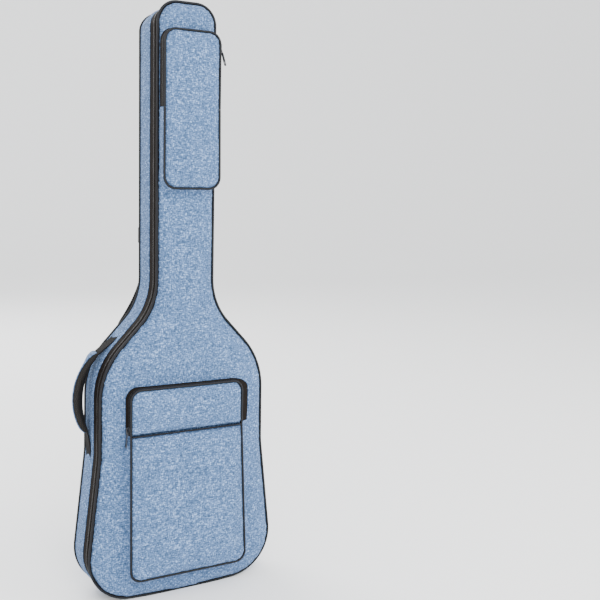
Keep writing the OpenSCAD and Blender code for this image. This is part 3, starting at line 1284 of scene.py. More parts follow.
@dataclass
class Gusset:
    """The sides of the bag and the main zipper."""

    shop: Workshop
    foam: float = 6.5

    def runs(self, step: float) -> tuple[np.ndarray, np.ndarray]:
        """The zipper side and the fold side of the outline."""
        outline = self.shop.outline
        zipped = outline.run(SIZES.zip_top, SIZES.zip_bottom, step, False)
        folded = outline.run(SIZES.zip_top, SIZES.zip_bottom, step, True)
        return zipped, folded

    def build(self) -> None:
        """Make the gussets and the zipper."""
        dress = self.shop.wardrobe.dress
        zipped, folded = self.runs(5.0)
        normals = self.normals(zipped)
        end = SIZES.zip_end
        wall = strip_section(end, SIZES.depth + 0.5, self.belly(1.6), self.foam, 8)
        piece = band("zip_side_gusset", zipped, normals, wall, False, 0.9, 60.0)
        dress(piece, Slot.CLOTH, ["zip_gusset_cloth", "zip_gusset_foam", "top_gusset_foam"], "shell", 0.5)
        f = self.foam
        edge = SIZES.depth - 1
        inner = [(0.1 - f, edge), (0.1 - f, end + 0.1), (-1.9, end + 0.1)]
        inner += [(-1.9, end - 0.7), (-0.8 - f, end - 0.7), (-0.8 - f, edge)]
        piece = band("zip_side_lining", zipped, normals, inner, False, 0.0)
        dress(piece, Slot.LINING, ["zip_gusset_lining"], "shell", 0.2)
        fold = self.normals(folded)
        wall = strip_section(0.3, SIZES.depth + 0.5, self.belly(2.2), self.foam, 14)
        piece = band("fold_side_gusset", folded, fold, wall, False, 1.1, 60.0)
        dress(piece, Slot.CLOTH, ["hinge_gusset_cloth", "hinge_gusset_foam"], None, 0.5)
        self.bend(piece)
        inner = strip_section(1.0, edge, lambda t: -self.foam + 0.1, 0.8, 14)
        piece = band("fold_side_lining", folded, fold, inner, False, 0.0)
        dress(piece, Slot.LINING, ["hinge_gusset_lining"], None, 0.2)
        self.bend(piece)
        self.zipper(zipped, normals)
        self.end_tabs(folded, fold)

    @staticmethod
    def belly(height: float) -> Callable[[float], float]:
        """Outer side of a wall that swells between its two seams."""
        return lambda t: 0.2 + height * math.sin(math.pi * t)

    def normals(self, path: np.ndarray) -> np.ndarray:
        """Outward normals of an open stretch of the outline."""
        ring = resample(self.shop.outline.points, 1.0, True)
        sides = outward(ring, True, MIDDLE)
        near = [int(np.argmin(np.linalg.norm(ring - p, axis=1))) for p in path]
        return sides[near]

    def zipper(self, path: np.ndarray, normals: np.ndarray) -> None:
        """Both tapes and both rows of teeth of the main zipper."""
        dress = self.shop.wardrobe.dress
        mid = SIZES.tape + SIZES.coil / 2
        for name, y0, y1, sign, node, body in (
            ("front_tape", -0.3, mid - 0.3, 1, "front_zip_tape", "lid"),
            ("rear_tape", mid + 0.3, SIZES.zip_end + 0.4, -1, "rear_zip_tape", "shell"),
        ):
            def height(t: float, sign: int = sign) -> float:
                """Outer side of the tape: low beside the teeth."""
                u = t if sign > 0 else 1 - t
                return -0.4 - 1.3 * ease(u * 1.2) + 1.1 * ease((u - 0.82) * 7)

            piece = band(name, path, normals, strip_section(y0, y1, height, 1.0, 12), False, 0.25, 60.0)
            dress(piece, Slot.TAPE, [node], body)
        fine = self.runs(2.0)[0]
        side = self.normals(fine)
        for name, y, node, body in (
            ("front_teeth", mid - 1.3, "front_zip_coil", "lid"),
            ("rear_teeth", mid + 1.3, "rear_zip_coil", "shell"),
        ):
            flat = fine - side * 0.6
            line = np.stack([flat[:, 0], np.full(len(fine), y), flat[:, 1]], 1)
            piece = self.shop.teeth.along(name, [line], 1.9, (1.5, 2.7, 1.5))
            dress(piece, Slot.COIL, [node], body)

    def end_tabs(self, path: np.ndarray, normals: np.ndarray) -> None:
        """Small cloth tabs over the two ends of the zipper.

        Args:
            path: The fold side of the outline.
            normals: Its outward normals.
        """
        pieces = []
        for k, part in enumerate((slice(0, 5), slice(-5, None))):
            section = strip_section(3, SIZES.zip_end, lambda t: 2.1, 1.4, 10)
            pieces.append(band(f"end_tab_{k}", path[part], normals[part], section, False))
        piece = bevelled(join(pieces, "zip_end_cloth"), 0.4, 2)
        self.shop.wardrobe.dress(piece, Slot.WEBBING, ["zip_end_tabs"])
        self.bend(piece)

    def bend(self, piece: bpy.types.Object) -> None:
        """Bake a piece's placement into its mesh."""
        back, front = (tuple(to_row(np.array([0.0, y, 400.0]))) for y in (SIZES.depth - 8, 4.0))
        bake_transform(piece)


@dataclass(frozen=True)
class Flare:
    """How far a pocket's base stands outside its face, on each side."""

    left: float
    right_low: float
    right_high: float
    top: float
    bottom: float


@dataclass
class Pocket:
    """A zipped pocket on the lid whose upper part folds down."""

    shop: Workshop
    prefix: str
    half: float
    bottom: float
    top: float
    radius: float
    fold: float
    flare: Flare
    crossbar: bool
    bulge: float = 1.2
    taper: float = 0.0
    puff: float = 2.2
    wall_out: float = -32.0
    wall_cut: float = -24.5
    base: float = -8.0
    skin: float = -19.0
    face: float = 6.0

    def side_path(self, up: bool, step: float = 3.0) -> np.ndarray:
        """The pocket's edge above or below its fold.

        Args:
            up: Whether the part above the fold is wanted.
            step: Spacing of its points.

        Returns:
            Points in x and z, from the right end of the fold to the left.
        """
        end = self.top if up else self.bottom
        s = 1 if up else -1
        r, h = self.radius, self.half
        arc = [math.radians(a) for a in range(0, 91, 9)]
        right = [(h, self.fold + (0.9 if up else -0.3))]
        right += [(h - r + r * math.cos(a), end - s * r + s * r * math.sin(a)) for a in arc]
        left = [(-x, z) for x, z in reversed(right)]
        path = np.array(right + left)
        path[:, 0] -= self.narrowing(path[:, 1]) * np.clip(path[:, 0] / h, 0, 1)
        return resample(path, step, False)

    def narrowing(self, z: np.ndarray) -> np.ndarray:
        """How far the right edge leans in at some heights."""
        u = np.clip((z - self.bottom) / (self.fold - self.bottom), 0, 1)
        return self.taper * u * u * (3 - 2 * u)

    def lean(self, x: float, z: float, y: float) -> tuple[float, float]:
        """Outward offsets of the wall, across and up, at a point of the edge.

        Args:
            x: Place across the bag.
            z: Height.
            y: Depth.

        Returns:
            Offset across and offset up.
        """
        f = self.flare
        across = ease((x / self.half + 1) / 2)
        upper = ease((z - self.fold + 90) / 130)
        right = f.right_low + (f.right_high - f.right_low) * upper
        side = f.left + (right - f.left) * across
        end = f.top if z > self.fold else f.bottom
        t = min(max((y - self.wall_out) / (self.skin - self.wall_out), 0.0), 1.16) ** 3
        return side * t, end * t

    def wall_section(self, y0: float, y1: float, thick: float) -> list[tuple[float, float]]:
        """Section of the wall between two depths.

        Args:
            y0: Depth at the outer edge.
            y1: Depth at the inner edge.
            thick: Thickness of the wall.

        Returns:
            Points as (offset, depth).
        """
        total = self.skin - self.wall_out
        count = 6
        outer = []
        for k in range(count + 1):
            y = y0 + (y1 - y0) * k / count
            t = min(max((y - self.wall_out) / total, 0.0), 1.0)
            outer.append((self.bulge * math.sin(math.pi * t ** 0.7), y))
        return outer + [(off - thick, y) for off, y in reversed(outer)]

    def build(self) -> None:
        """Make the walls, faces, piping and zipper of the pocket."""
        dress = self.shop.wardrobe.dress
        p = self.prefix
        low, up = self.side_path(False), self.side_path(True)
        inside = (0.0, self.fold)
        n_low, n_up = outward(low, False, inside), outward(up, False, inside)
        out, cut, base = self.wall_out, self.wall_cut, self.base
        for name, path, normals, y0, y1, node, body in (
            ("wall", low, n_low, out, base, "pocket_wall", "lid"),
            ("inner_tape", up, n_up, cut, base, "pocket_tape", "lid"),
            ("outer_tape", up, n_up, out, cut - 0.4, "flap_tape", f"{p}_flap"),
        ):
            cloth = name == "wall"
            section = self.wall_section(y0, y1, 2.0 if cloth else 1.2)
            ripple = 0.4 if cloth else 0.15
            piece = band(f"{p}_{name}", path, normals, section, False, ripple, 60.0, self.lean)
            slot = Slot.CLOTH if cloth else Slot.TAPE
            dress(piece, slot, [f"{p}_{node}"], body, 0.3 if cloth else None)
        self.teeth(up, n_up)
        for name, path, normals, node, body in (
            (f"{p}_piping_cord", low, n_low, f"{p}_pocket_piping", "lid"),
            (f"{p}_flap_cord", up, n_up, f"{p}_flap_piping", f"{p}_flap"),
        ):
            run = path.copy()
            run[[0, -1], 1] += -0.6 if body != "lid" else 0.2
            cord = band(name, run, normals, round_section(1.0, self.wall_out - 1.2, 2.1), False)
            dress(cord, Slot.PIPING, [node], body)
        if self.crossbar:
            self.bar()
            self.face_piece(f"{p}_face", low, [f"{p}_pocket_face"], "lid")
            self.face_piece(f"{p}_flap_cloth", up, [f"{p}_flap_face"], f"{p}_flap")
        else:
            ring = np.vstack([up, low[::-1][1:-1]])
            piece = self.face_mesh(f"{p}_face", resample(ring, 4.0, True))
            dress(piece, Slot.CLOTH, [f"{p}_pocket_face", f"{p}_flap_face"], None, 0.5)
            ends = [tuple(to_row(np.array([0, self.wall_out - self.face, self.fold + d]))) for d in (-7, 9)]
            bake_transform(piece)

    def teeth(self, path: np.ndarray, normals: np.ndarray) -> None:
        """The two rows of teeth between the tapes.

        Args:
            path: The pocket's edge above the fold.
            normals: Its outward normals.
        """
        for name, y, body in (
            (f"{self.prefix}_inner_teeth", self.wall_cut + 1.0, "lid"),
            (f"{self.prefix}_outer_teeth", self.wall_cut - 1.4, f"{self.prefix}_flap"),
        ):
            t = (y - self.wall_out) / (self.skin - self.wall_out)
            swell = self.bulge * math.sin(math.pi * t ** 0.7)
            off = np.array([self.lean(x, z, y) for x, z in path]) + swell + 0.4
            flat = path + normals * off
            line = np.stack([flat[:, 0], np.full(len(path), y), flat[:, 1]], 1)
            piece = self.shop.teeth.along(name, [line], 1.8, (1.2, 2.2, 1.2))
            self.shop.wardrobe.dress(piece, Slot.COIL, body=body)

    def face_mesh(self, name: str, ring: np.ndarray) -> bpy.types.Object:
        """A padded face over a closed outline.

        Args:
            name: Name of the face.
            ring: Its outline in x and z.

        Returns:
            The face, puffed and smoothed.
        """
        rise = pillow(self.face - 1.2, 7.0, 3.0, 60.0)
        obj = cushion(
            name,
            ring,
            lambda d, x, z: self.wall_out - rise(d),
            lambda d, x, z: self.wall_out + 0.6,
            5.0,
            self.puff,
        )
        return subdivided(obj)

    def face_piece(self, name: str, path: np.ndarray, nodes: list[str], body: str) -> None:
        """One of the two faces of a pocket with a piped fold.

        Args:
            name: Name of the face.
            path: The pocket's edge on its side of the fold.
            nodes: CAD nodes that it replaces.
            body: Body that it rides on.
        """
        shifted = path.copy()
        side = 0.9 if path[:, 1].max() > self.fold + 1 else -0.9
        shifted[0, 1] += side
        shifted[-1, 1] += side
        piece = self.face_mesh(name, resample(shifted, 4.0, True))
        self.shop.wardrobe.dress(piece, Slot.CLOTH, nodes, body, 0.5)

    def bar(self) -> None:
        """The piping along the fold."""
        xs = np.linspace(-self.half + 0.5, self.half - 0.5 - self.taper, 60)
        count = len(xs)
        centre = np.stack([xs, np.full(count, self.wall_out - 4.6), np.full(count, self.fold)], 1)
        across = np.tile([0.0, 0.0, 1.0], (count, 1))
        grid = ribbon_grid(centre, across, np.full(count, 1.3), np.full(count, 3.6), 2.0, 12)
        piece = grid_object(f"{self.prefix}_fold_piping", grid)
        self.shop.wardrobe.dress(piece, Slot.PIPING, [f"{self.prefix}_crossbar"], "lid")


@dataclass
class ZipSlider:
    """A zipper slider with its pull."""

    shop: Workshop
    name: str
    seat: tuple[float, float, float]
    side: int
    slant: float = 0.07

    def build(self) -> None:
        """Make the slider body and the hanging pull."""
        dress = self.shop.wardrobe.dress
        x, y, z = self.seat
        s = self.side
        axes = np.array([[s, 0, 0], [0, 1, 0], [0, 0, 1]], float)
        shield = [(-4.4, 2.5), (-3.2, 6.5), (3.2, 6.5), (4.4, 2.5), (2.6, -6.2), (-2.6, -6.2)]
        plate = self.outline_block(f"{self.name}_plate", x + s * 0.2, x + s * 2.6, y, z, shield)
        posts = [
            box_object(f"{self.name}_p{k}", (x + s * 3.6, y, z + dz), (3.0, 2.0, 2.0), axes)
            for k, dz in enumerate((-4.6, 4.6))
        ]
        crown = box_object(f"{self.name}_crown", (x + s * 5.8, y, z), (1.3, 2.2, 11.4), axes)
        body = bevelled(join([plate, *posts, crown], f"{self.name}_slider_body"), 0.45, 2)
        dress(body, Slot.METAL, [f"{self.name}_slider"], f"{self.name}_slider")
        px = x + s * 4.1
        bars = [
            box_object(f"{self.name}_b0", (px, y, z - 1.0), (1.3, 6.2, 1.3), axes),
            box_object(f"{self.name}_b1", (px, y - 2.5, z - 5.2), (1.3, 1.3, 9.0), axes),
            box_object(f"{self.name}_b2", (px, y + 2.5, z - 5.2), (1.3, 1.3, 9.0), axes),
        ]
        blade = self.blade(px + s * 0.4, px + s * 1.7, y, z)
        pull = bevelled(join([*bars, blade], f"{self.name}_pull_tab"), 0.3, 2)
        hinge = to_row(np.array([x, y, z - 1.0]))[2]
        for vertex in pull.data.vertices:
            vertex.co.x += s * self.slant * max(0.0, hinge - vertex.co.z)
        dress(pull, Slot.METAL, [f"{self.name}_pull"], f"{self.name}_pull")

    def outline_block(
        self, name: str, x0: float, x1: float, y: float, z: float, shape: Sequence[tuple[float, float]]
    ) -> bpy.types.Object:
        """A flat block with an outline in y and z.

        Args:
            name: Name of the block.
            x0: Place of one flat side.
            x1: Place of the other.
            y: Depth of the outline's origin.
            z: Height of the outline's origin.
            shape: The outline, about its origin.

        Returns:
            The block.
        """
        n = len(shape)
        verts = np.array([(xx, y + a, z + b) for xx in (x0, x1) for a, b in shape])
        faces: list[tuple[int, ...]] = [tuple(range(n)), tuple(range(2 * n - 1, n - 1, -1))]
        faces += [(k, (k + 1) % n, n + (k + 1) % n, n + k) for k in range(n)]
        return finish_mesh(new_object(name, verts, faces))

    def blade(self, x0: float, x1: float, y: float, z: float) -> bpy.types.Object:
        """The flat part of the pull with an oval hole near its end.

        Args:
            x0: Place of one flat side.
            x1: Place of the other.
            y: Depth of the pull's top.
            z: Height of the pull's top.

        Returns:
            The blade.
        """
        sides = 24
        outer, inner = [], []
        for k in range(sides):
            a = 2 * math.pi * k / sides
            ca, sa = math.cos(a), math.sin(a)
            high = math.copysign(abs(sa) ** 0.45, sa)
            outer.append((3.4 * math.copysign(abs(ca) ** 0.55, ca), -19.3 + 11.2 * high))
            inner.append((1.5 * ca, -25.2 + 2.6 * sa))
        verts = np.array([(xx, y + a, z + b) for xx in (x0, x1) for ring in (outer, inner) for a, b in ring])
        faces = []
        n = sides
        for k in range(n):
            j = (k + 1) % n
            faces += [(k, j, n + j, n + k), (2 * n + k, 3 * n + k, 3 * n + j, 2 * n + j)]
            faces += [(k, 2 * n + k, 2 * n + j, j), (n + k, n + j, 3 * n + j, 3 * n + k)]
        return finish_mesh(new_object("blade", verts, faces))


@dataclass
class Strap:
    """One shoulder strap with its buckle, lower webbing and tail."""

    shop: Workshop
    side: int
    name: str
    top: float = 655.0
    end: float = 452.0
    rise: float = 50.0
    lock_z: float = 428.0
    lock_x: float = 61.0
    thick: float = 8.0
    binding: float = 8.0
    loose: float = 100.0
    tail_drop: float = 21.3

    def drop(self, z: float) -> float:
        """How far down the padded part a height is."""
        return (self.top - z) / 200.0

    def x(self, z: float) -> float:
        """Middle of the strap across the back."""
        return 20 + 32 * self.drop(z) ** 3

    def y(self, z: float) -> float:
        """Distance of the strap's middle behind the front seam."""
        return SIZES.back_face + 6 + self.rise * ease((575 - z) / 140)

    def half(self, z: float) -> float:
        """Half width of the padded part."""
        return 17 + 11 * self.drop(z)

    @property
    def lock_y(self) -> float:
        """Depth of the buckle."""
        return self.y(self.lock_z) + 5

    def mirror(self, points: np.ndarray) -> np.ndarray:
        """Put points of the right strap on this strap's side."""
        return np.asarray(points, float) * np.array([self.side, 1, 1])

    def line(self, z0: float, z1: float, count: int) -> np.ndarray:
        """Middle line between two heights.

        Args:
            z0: Height of its first point.
            z1: Height of its last point.
            count: Number of points.

        Returns:
            Points on the right strap.
        """
        return np.array([(self.x(z), self.y(z), z) for z in np.linspace(z0, z1, count)])

    def frames(self, centre: np.ndarray) -> tuple[np.ndarray, np.ndarray]:
        """Width and outward directions along the middle line."""
        t = tangents(centre, False)
        w = unit(np.array([1.0, 0, 0]) - t * t[:, :1])
        n = np.cross(w, t)
        return w, np.where((n[:, 1] < 0)[:, None], -n, n)

    def build(self) -> None:
        """Make every piece of the strap."""
        self.pad()
        self.tab()
        self.buckle()
        self.lower_web()
        self.tail()

    def blend(self, piece: bpy.types.Object, high: float, low: float) -> None:
        """Bake a piece's placement into its mesh.

        Args:
            piece: Piece whose placement is baked.
            high: Upper height; the point worked out from it is not used.
            low: Lower height; the point worked out from it is not used.
        """
        a = to_row(self.mirror(np.array([self.x(high), self.y(high), high])))
        b = to_row(self.mirror(np.array([self.x(low), self.y(low), low])))
        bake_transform(piece)

    def pad(self) -> None:
        """The padded part and its edge binding."""
        dress = self.shop.wardrobe.dress
        centre = self.line(self.top, self.end, 64)
        w, n = self.frames(centre)
        z = centre[:, 2]
        half = np.array([self.half(v) for v in z])
        tip = np.array([math.sqrt(max(0.02, 1 - max(0.0, (self.end + 12 - v) / 12.5) ** 2)) for v in z])
        root = np.array([0.45 + 0.55 * ease((self.top - v) / 30) for v in z])
        width = (half - 1.0) * (0.55 + 0.45 * tip)
        grid = ribbon_grid(centre, w, width, self.thick * root * (0.6 + 0.4 * tip), 3.2, 24)
        for i in range(grid.shape[0]):
            for j in range(grid.shape[1]):
                grid[i, j] += n[i] * 0.5 * wobble(grid[i, j], 26.0, 5.0 * self.side)
        piece = grid_object(f"{self.name}_pad", self.mirror(grid), sharp=None)
        nodes = [f"{self.name}_strap_pad"] + (["strap_roots"] if self.side < 0 else [])
        dress(subdivided(piece), Slot.CLOTH, nodes, None, 0.6)
        self.blend(piece, 566, 532)
        self.binding_piece(centre, w, n, half, root)

    def binding_piece(
        self, centre: np.ndarray, w: np.ndarray, n: np.ndarray, half: np.ndarray, root: np.ndarray
    ) -> None:
        """Black tape folded over the edge of the padded part.

        Args:
            centre: Middle line of the padded part.
            w: Its width direction at each point.
            n: Its outward direction at each point.
            half: Its half width at each point.
            root: Share of its full thickness at each point.
        """
        count = len(centre)
        corner = 9
        track: list[tuple[float, float]] = [(1.0, float(i)) for i in range(count - corner)]
        for k in range(1, 16):
            a = math.pi * k / 16
            ca, sa = math.cos(a), math.sin(a)
            track.append((math.copysign(abs(ca) ** 0.45, ca), count - 1 - corner + corner * abs(sa) ** 0.6))
        track += [(-1.0, float(i)) for i in range(count - corner - 1, -1, -1)]
        rows = np.arange(count)

        def at(values: np.ndarray, i: float) -> np.ndarray:
            """Value between two rows."""
            if values.ndim == 1:
                return np.interp(i, rows, values)
            return np.array([np.interp(i, rows, values[:, k]) for k in range(values.shape[1])])

        middle = np.array([at(centre, i) + at(w, i) * u * at(half, i) for u, i in track])
        along = tangents(middle, False)
        out = np.array([unit(at(n, i)) for _, i in track])
        inward = np.cross(along, out)
        toward = np.array([at(centre, min(i, count - corner - 2)) for _, i in track]) - middle
        inward = np.where(((inward * toward).sum(1) < 0)[:, None], -inward, inward)
        thick = np.array([self.thick * at(root, i) / 2 for _, i in track]) + 0.35
        b = self.binding
        section = [(b, 0.75), (b, 1.0), (1.2, 1.0), (-0.6, 0.55), (-0.9, 0.0), (-0.6, -0.55)]
        section += [(1.2, -1.0), (b, -1.0), (b, -0.75), (1.4, -0.6), (1.4, 0.6)]
        grid = np.zeros((len(track), len(section), 3))
        for j, (deep, level) in enumerate(section):
            grid[:, j] = middle + inward * deep + out * (thick * level)[:, None]
        piece = grid_object(f"{self.name}_binding", self.mirror(grid), sharp=50.0)
        self.shop.wardrobe.dress(piece, Slot.WEBBING)
        self.blend(piece, 566, 532)
        seam = self.mirror(middle + inward * (b - 1.3) + out * (thick + 0.1)[:, None])
        thread = self.shop.thread.along(f"{self.name}_binding_thread", [seam], 4.0, FINE_STITCH)
        self.shop.wardrobe.dress(thread, Slot.PIPING)
        self.blend(thread, 566, 532)

    def ribbon(
        self, name: str, centre: np.ndarray, half: float, across: Optional[np.ndarray] = None
    ) -> bpy.types.Object:
        """A length of webbing along a line of the right strap.

        Args:
            name: Name of the piece.
            centre: Middle line of the webbing.
            half: Its half width.
            across: Its width direction at each point, if it is not x.

        Returns:
            The webbing on this strap's side.
        """
        count = len(centre)
        width = np.tile([1.0, 0, 0], (count, 1)) if across is None else across
        thick = np.full(count, SIZES.web_thick)
        grid = ribbon_grid(centre, width, np.full(count, half), thick, 9.0, 16)
        return grid_object(name, self.mirror(grid), sharp=35.0)

    def tab(self) -> None:
        """The webbing tab that holds the buckle, with its box of stitches."""
        zs = np.linspace(483, 437, 16)
        centre = np.array([(self.x(z), self.y(z) + self.thick / 2 + 1.2, z) for z in zs])
        w, n = self.frames(centre)
        piece = self.ribbon(f"{self.name}_tab", centre, SIZES.webbing / 2, w)
        body = f"{self.name}_strap"
        self.shop.wardrobe.dress(piece, Slot.WEBBING, [f"{self.name}_strap_tab"], body)
        lines = []
        corners = [(-10, 1), (10, 1), (10, 9), (-10, 9), (-10, 1), (10, 9)]
        for (u0, i0), (u1, i1) in zip(corners, corners[1:] + [(-10, 9)]):
            lines.append(self.box_line(centre, w, n, (u0, i0), (u1, i1)))
        lines.append(self.box_line(centre, w, n, (-10, 9), (10, 1)))
        self.shop.stitches(f"{self.name}_tab_thread", [self.mirror(v) for v in lines], body, 3.4)

    def box_line(
        self,
        centre: np.ndarray,
        w: np.ndarray,
        n: np.ndarray,
        a: tuple[float, float],
        b: tuple[float, float],
    ) -> np.ndarray:
        """A straight stitch line on a piece of webbing.

        Args:
            centre: Middle line of the webbing.
            w: Its width direction at each point.
            n: Its outward direction at each point.
            a: Start, as (offset across, row of the middle line).
            b: End, as the same.

        Returns:
            Points just above the webbing.
        """
        rows = np.arange(len(centre))
        out = []
        for t in np.linspace(0, 1, 8):
            u, i = a[0] + (b[0] - a[0]) * t, a[1] + (b[1] - a[1]) * t
            c, across, up = (
                np.array([np.interp(i, rows, field[:, k]) for k in range(3)]) for field in (centre, w, n)
            )
            out.append(c + across * u + up * 1.15)
        return np.array(out)

    def lock_frame(self) -> tuple[np.ndarray, np.ndarray, np.ndarray, np.ndarray]:
        """Middle of the buckle and its across, up and outward directions."""
        lean = math.radians(17)
        up = np.array([-math.sin(lean), 0, math.cos(lean)])
        across = np.array([math.cos(lean), 0, math.sin(lean)])
        return np.array([self.lock_x, self.lock_y + 2.5, self.lock_z]), across, up, np.array([0, 1.0, 0])

    def buckle(self) -> None:
        """The ladder lock: two rails, three bars and a curved thumb lip."""
        middle, across, up, out = self.lock_frame()
        rows = np.linspace(-18, 20, 20)
        pieces = []
        for s in (-1, 1):
            curve = 0.9 + 2.4 * (rows / 18) ** 2
            centre = np.array([middle + across * s * 15.0 + up * v + out * c for v, c in zip(rows, curve)])
            grid = ribbon_grid(centre, np.tile(across, (20, 1)), np.full(20, 2.5), np.full(20, 5.4), 3.5, 14)
            pieces.append(grid_object("rail", self.mirror(grid)))
        for v, depth, wide, thick in ((17.0, 2.6, 2.8, 3.8), (8.5, 1.0, 2.3, 3.4), (-1.0, 0.4, 2.2, 3.0)):
            xs = np.linspace(-16, 16, 12)
            centre = np.array([middle + across * u + up * v + out * depth for u in xs])
            grid = ribbon_grid(centre, np.tile(up, (12, 1)), np.full(12, wide), np.full(12, thick), 2.6, 12)
            pieces.append(grid_object("bar", self.mirror(grid)))
        xs = np.linspace(-16.8, 16.8, 18)
        arch = 1 - (xs / 16.8) ** 2
        centre = np.array(
            [middle + across * u + up * (-16.5 - 2.4 * a) + out * (4.6 + 1.4 * a) for u, a in zip(xs, arch)]
        )
        slope = np.tile(up + out * 0.55, (18, 1))
        grid = ribbon_grid(centre, slope, np.full(18, 4.6), np.full(18, 2.6), 3.0, 14)
        pieces.append(grid_object("lip", self.mirror(grid)))
        piece = join(pieces, f"{self.name}_buckle")
        self.shop.wardrobe.dress(piece, Slot.PLASTIC, [f"{self.name}_lock"], f"{self.name}_strap")

    def lower_web(self) -> None:
        """The long webbing, from round the buckle's bar to the lower corner."""
        middle, _, up, out = self.lock_frame()
        wrap = [(-20.5, 0.8), (-15.0, 1.4), (-9.0, 2.8), (-1.0, 3.8), (3.4, 2.8)]
        wrap += [(4.6, 0.2), (1.5, -2.4), (-7.0, -3.4), (-13.0, -4.0)]
        points = [middle + up * v + out * d for v, d in wrap]
        start = np.array([self.lock_x + 6.0, self.lock_y - 3.0, self.lock_z - 21])
        foot = np.array([150.0, SIZES.back_face + 9, 128])
        for k in range(0, 41):
            t = k / 40
            p = start + (foot - start) * t
            p[1] += 6 * math.sin(math.pi * t)
            points.append(p)
        for x, lift, z in ((152.5, 4.4, 118), (155.0, 3.6, 108)):
            points.append(np.array([x, SIZES.back_face + lift, z]))
        centre = resample(self.smooth(np.array(points)), 3.0, False)
        piece = self.ribbon(f"{self.name}_long_web", centre, SIZES.webbing / 2)
        nodes = [f"{self.name}_lower_web"] + (["wing_webs"] if self.side < 0 else [])
        self.shop.wardrobe.dress(piece, Slot.WEBBING, nodes)
        a = to_row(self.mirror(np.array([146.0, SIZES.back_face + 14, 148])))
        b = to_row(self.mirror(np.array([151.0, SIZES.back_face + 8, 122])))
        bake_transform(piece)

    @staticmethod
    def smooth(points: np.ndarray, rounds: int = 2) -> np.ndarray:
        """Round the corners of a line.

        Args:
            points: Points along the line.
            rounds: How often its corners are cut.

        Returns:
            The rounded line, with the same ends.
        """
        for _ in range(rounds):
            a = points[:-1] * 0.75 + points[1:] * 0.25
            b = points[:-1] * 0.25 + points[1:] * 0.75
            mixed = np.empty((2 * len(a), 3))
            mixed[0::2], mixed[1::2] = a, b
            points = np.vstack([points[:1], mixed, points[-1:]])
        return points

    def tail(self) -> None:
        """The loose end of the webbing."""
        z1, y1 = self.lock_z - self.tail_drop, self.lock_y + 3.4
        points = []
        for k in range(0, 25):
            t = k / 24
            x = self.lock_x + 5 + 4 * t + 1.5 * math.sin(4 * t)
            points.append(np.array([x, y1 + 9 * t * t + 2.0 * math.sin(5 * t), z1 - self.loose * t]))
        centre = resample(self.smooth(np.array(points)), 4.0, False)
        piece = self.ribbon(f"{self.name}_loose_end", centre, SIZES.webbing / 2 - 0.4)
        hem = self.ribbon("hem", centre[-5:] + np.array([0, 1.7, 0]), SIZES.webbing / 2 - 0.6)
        piece = join([piece, hem], f"{self.name}_loose_end")
        self.shop.wardrobe.dress(piece, Slot.WEBBING, [f"{self.name}_tail"], f"{self.name}_tail")


@dataclass
class SideHandle:
    """The padded carry handle on the zipper side."""

    shop: Workshop
    centre: tuple[float, float] = (-52.0, 356.0)
    radius: float = 123.0
    depth: float = 57.0
    lean: float = 32.0
    webbing: float = 12.5
    start: float = 137.0
    stop: float = 207.0

    def point(self, degrees: float, off: float = 0.0) -> np.ndarray:
        """A point on the handle's arc.

        Args:
            degrees: Place on the arc.
            off: Distance outside the arc.

        Returns:
            The point.
        """
        a = math.radians(degrees)
        r = self.radius + off
        return np.array([self.centre[0] + r * math.cos(a), self.depth, self.centre[1] + r * math.sin(a)])

    def build(self) -> None:
        """Make the grip, its cloth face and the webbing ends."""
        dress = self.shop.wardrobe.dress
        degrees = np.linspace(self.start, self.stop, 44)
        centre = np.array([self.point(a) for a in degrees])
        t = np.linspace(0, 1, len(degrees))
        ends = np.minimum(1, np.minimum(t, 1 - t) / 0.09) ** 0.5
        half = 13.0 + 4.5 * ends
        lean = math.radians(self.lean) * np.sin(np.pi * t) ** 0.6
        across = np.stack([np.sin(lean), np.cos(lean), np.zeros(len(t))], 1)
        grid = ribbon_grid(centre, across, half, 3.5 + 9.0 * ends, 3.0, 24)
        piece = grid_object("grip_mesh", grid, sharp=None)
        dress(piece, Slot.MESH, ["handle_grip"], "handle", 0.6)
        along = tangents(centre, False)
        out = unit(np.cross(along, across))
        away = centre - np.array([self.centre[0], self.depth, self.centre[1]])
        out = np.where(((out * away).sum(1) < 0)[:, None], -out, out)
        shell = centre + out * (1.6 + 4.6 * ends)[:, None]
        grid = ribbon_grid(shell, across, half - 2.2, 1.2 + 1.6 * ends, 3.2, 20)
        piece = grid_object("grip_cloth", grid, sharp=None)
        dress(piece, Slot.CLOTH, ["handle_face"], "handle", 0.4)
        self.ends()

    def ends(self) -> None:
        """Webbing from each end of the grip to its seam on the gusset."""
        high = [(-97.0, 474.0), (-101.5, 470.5), (-112.0, 461.5)]
        high += [(-124.0, 452.0), (-136.0, 443.5), (-143.0, 437.0)]
        low = [(-156.3, 252.0), (-156.4, 264.0), (-157.6, 280.0)]
        low += [(-160.5, 294.0), (-162.6, 304.0), (-166.0, 314.0)]
        for name, flat, start, end in (
            ("handle_top_web", high, (-104, 468), (-130, 448)),
            ("handle_bottom_web", low, (-156.5, 268), (-161, 300)),
        ):
            line = np.array([(x, self.depth, z) for x, z in flat])
            line = resample(Strap.smooth(line), 4.0, False)
            across = np.tile([0.0, 1.0, 0.0], (len(line), 1))
            count = len(line)
            grid = ribbon_grid(line, across, np.full(count, self.webbing), np.full(count, 2.2), 9.0, 16)
            piece = grid_object(name, grid, sharp=35.0)
            self.shop.wardrobe.dress(piece, Slot.WEBBING, ["handle_tabs"] if "top" in name else [])
            a = to_row(np.array([start[0], self.depth, start[1]]))
            b = to_row(np.array([end[0], self.depth, end[1]]))
            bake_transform(piece)


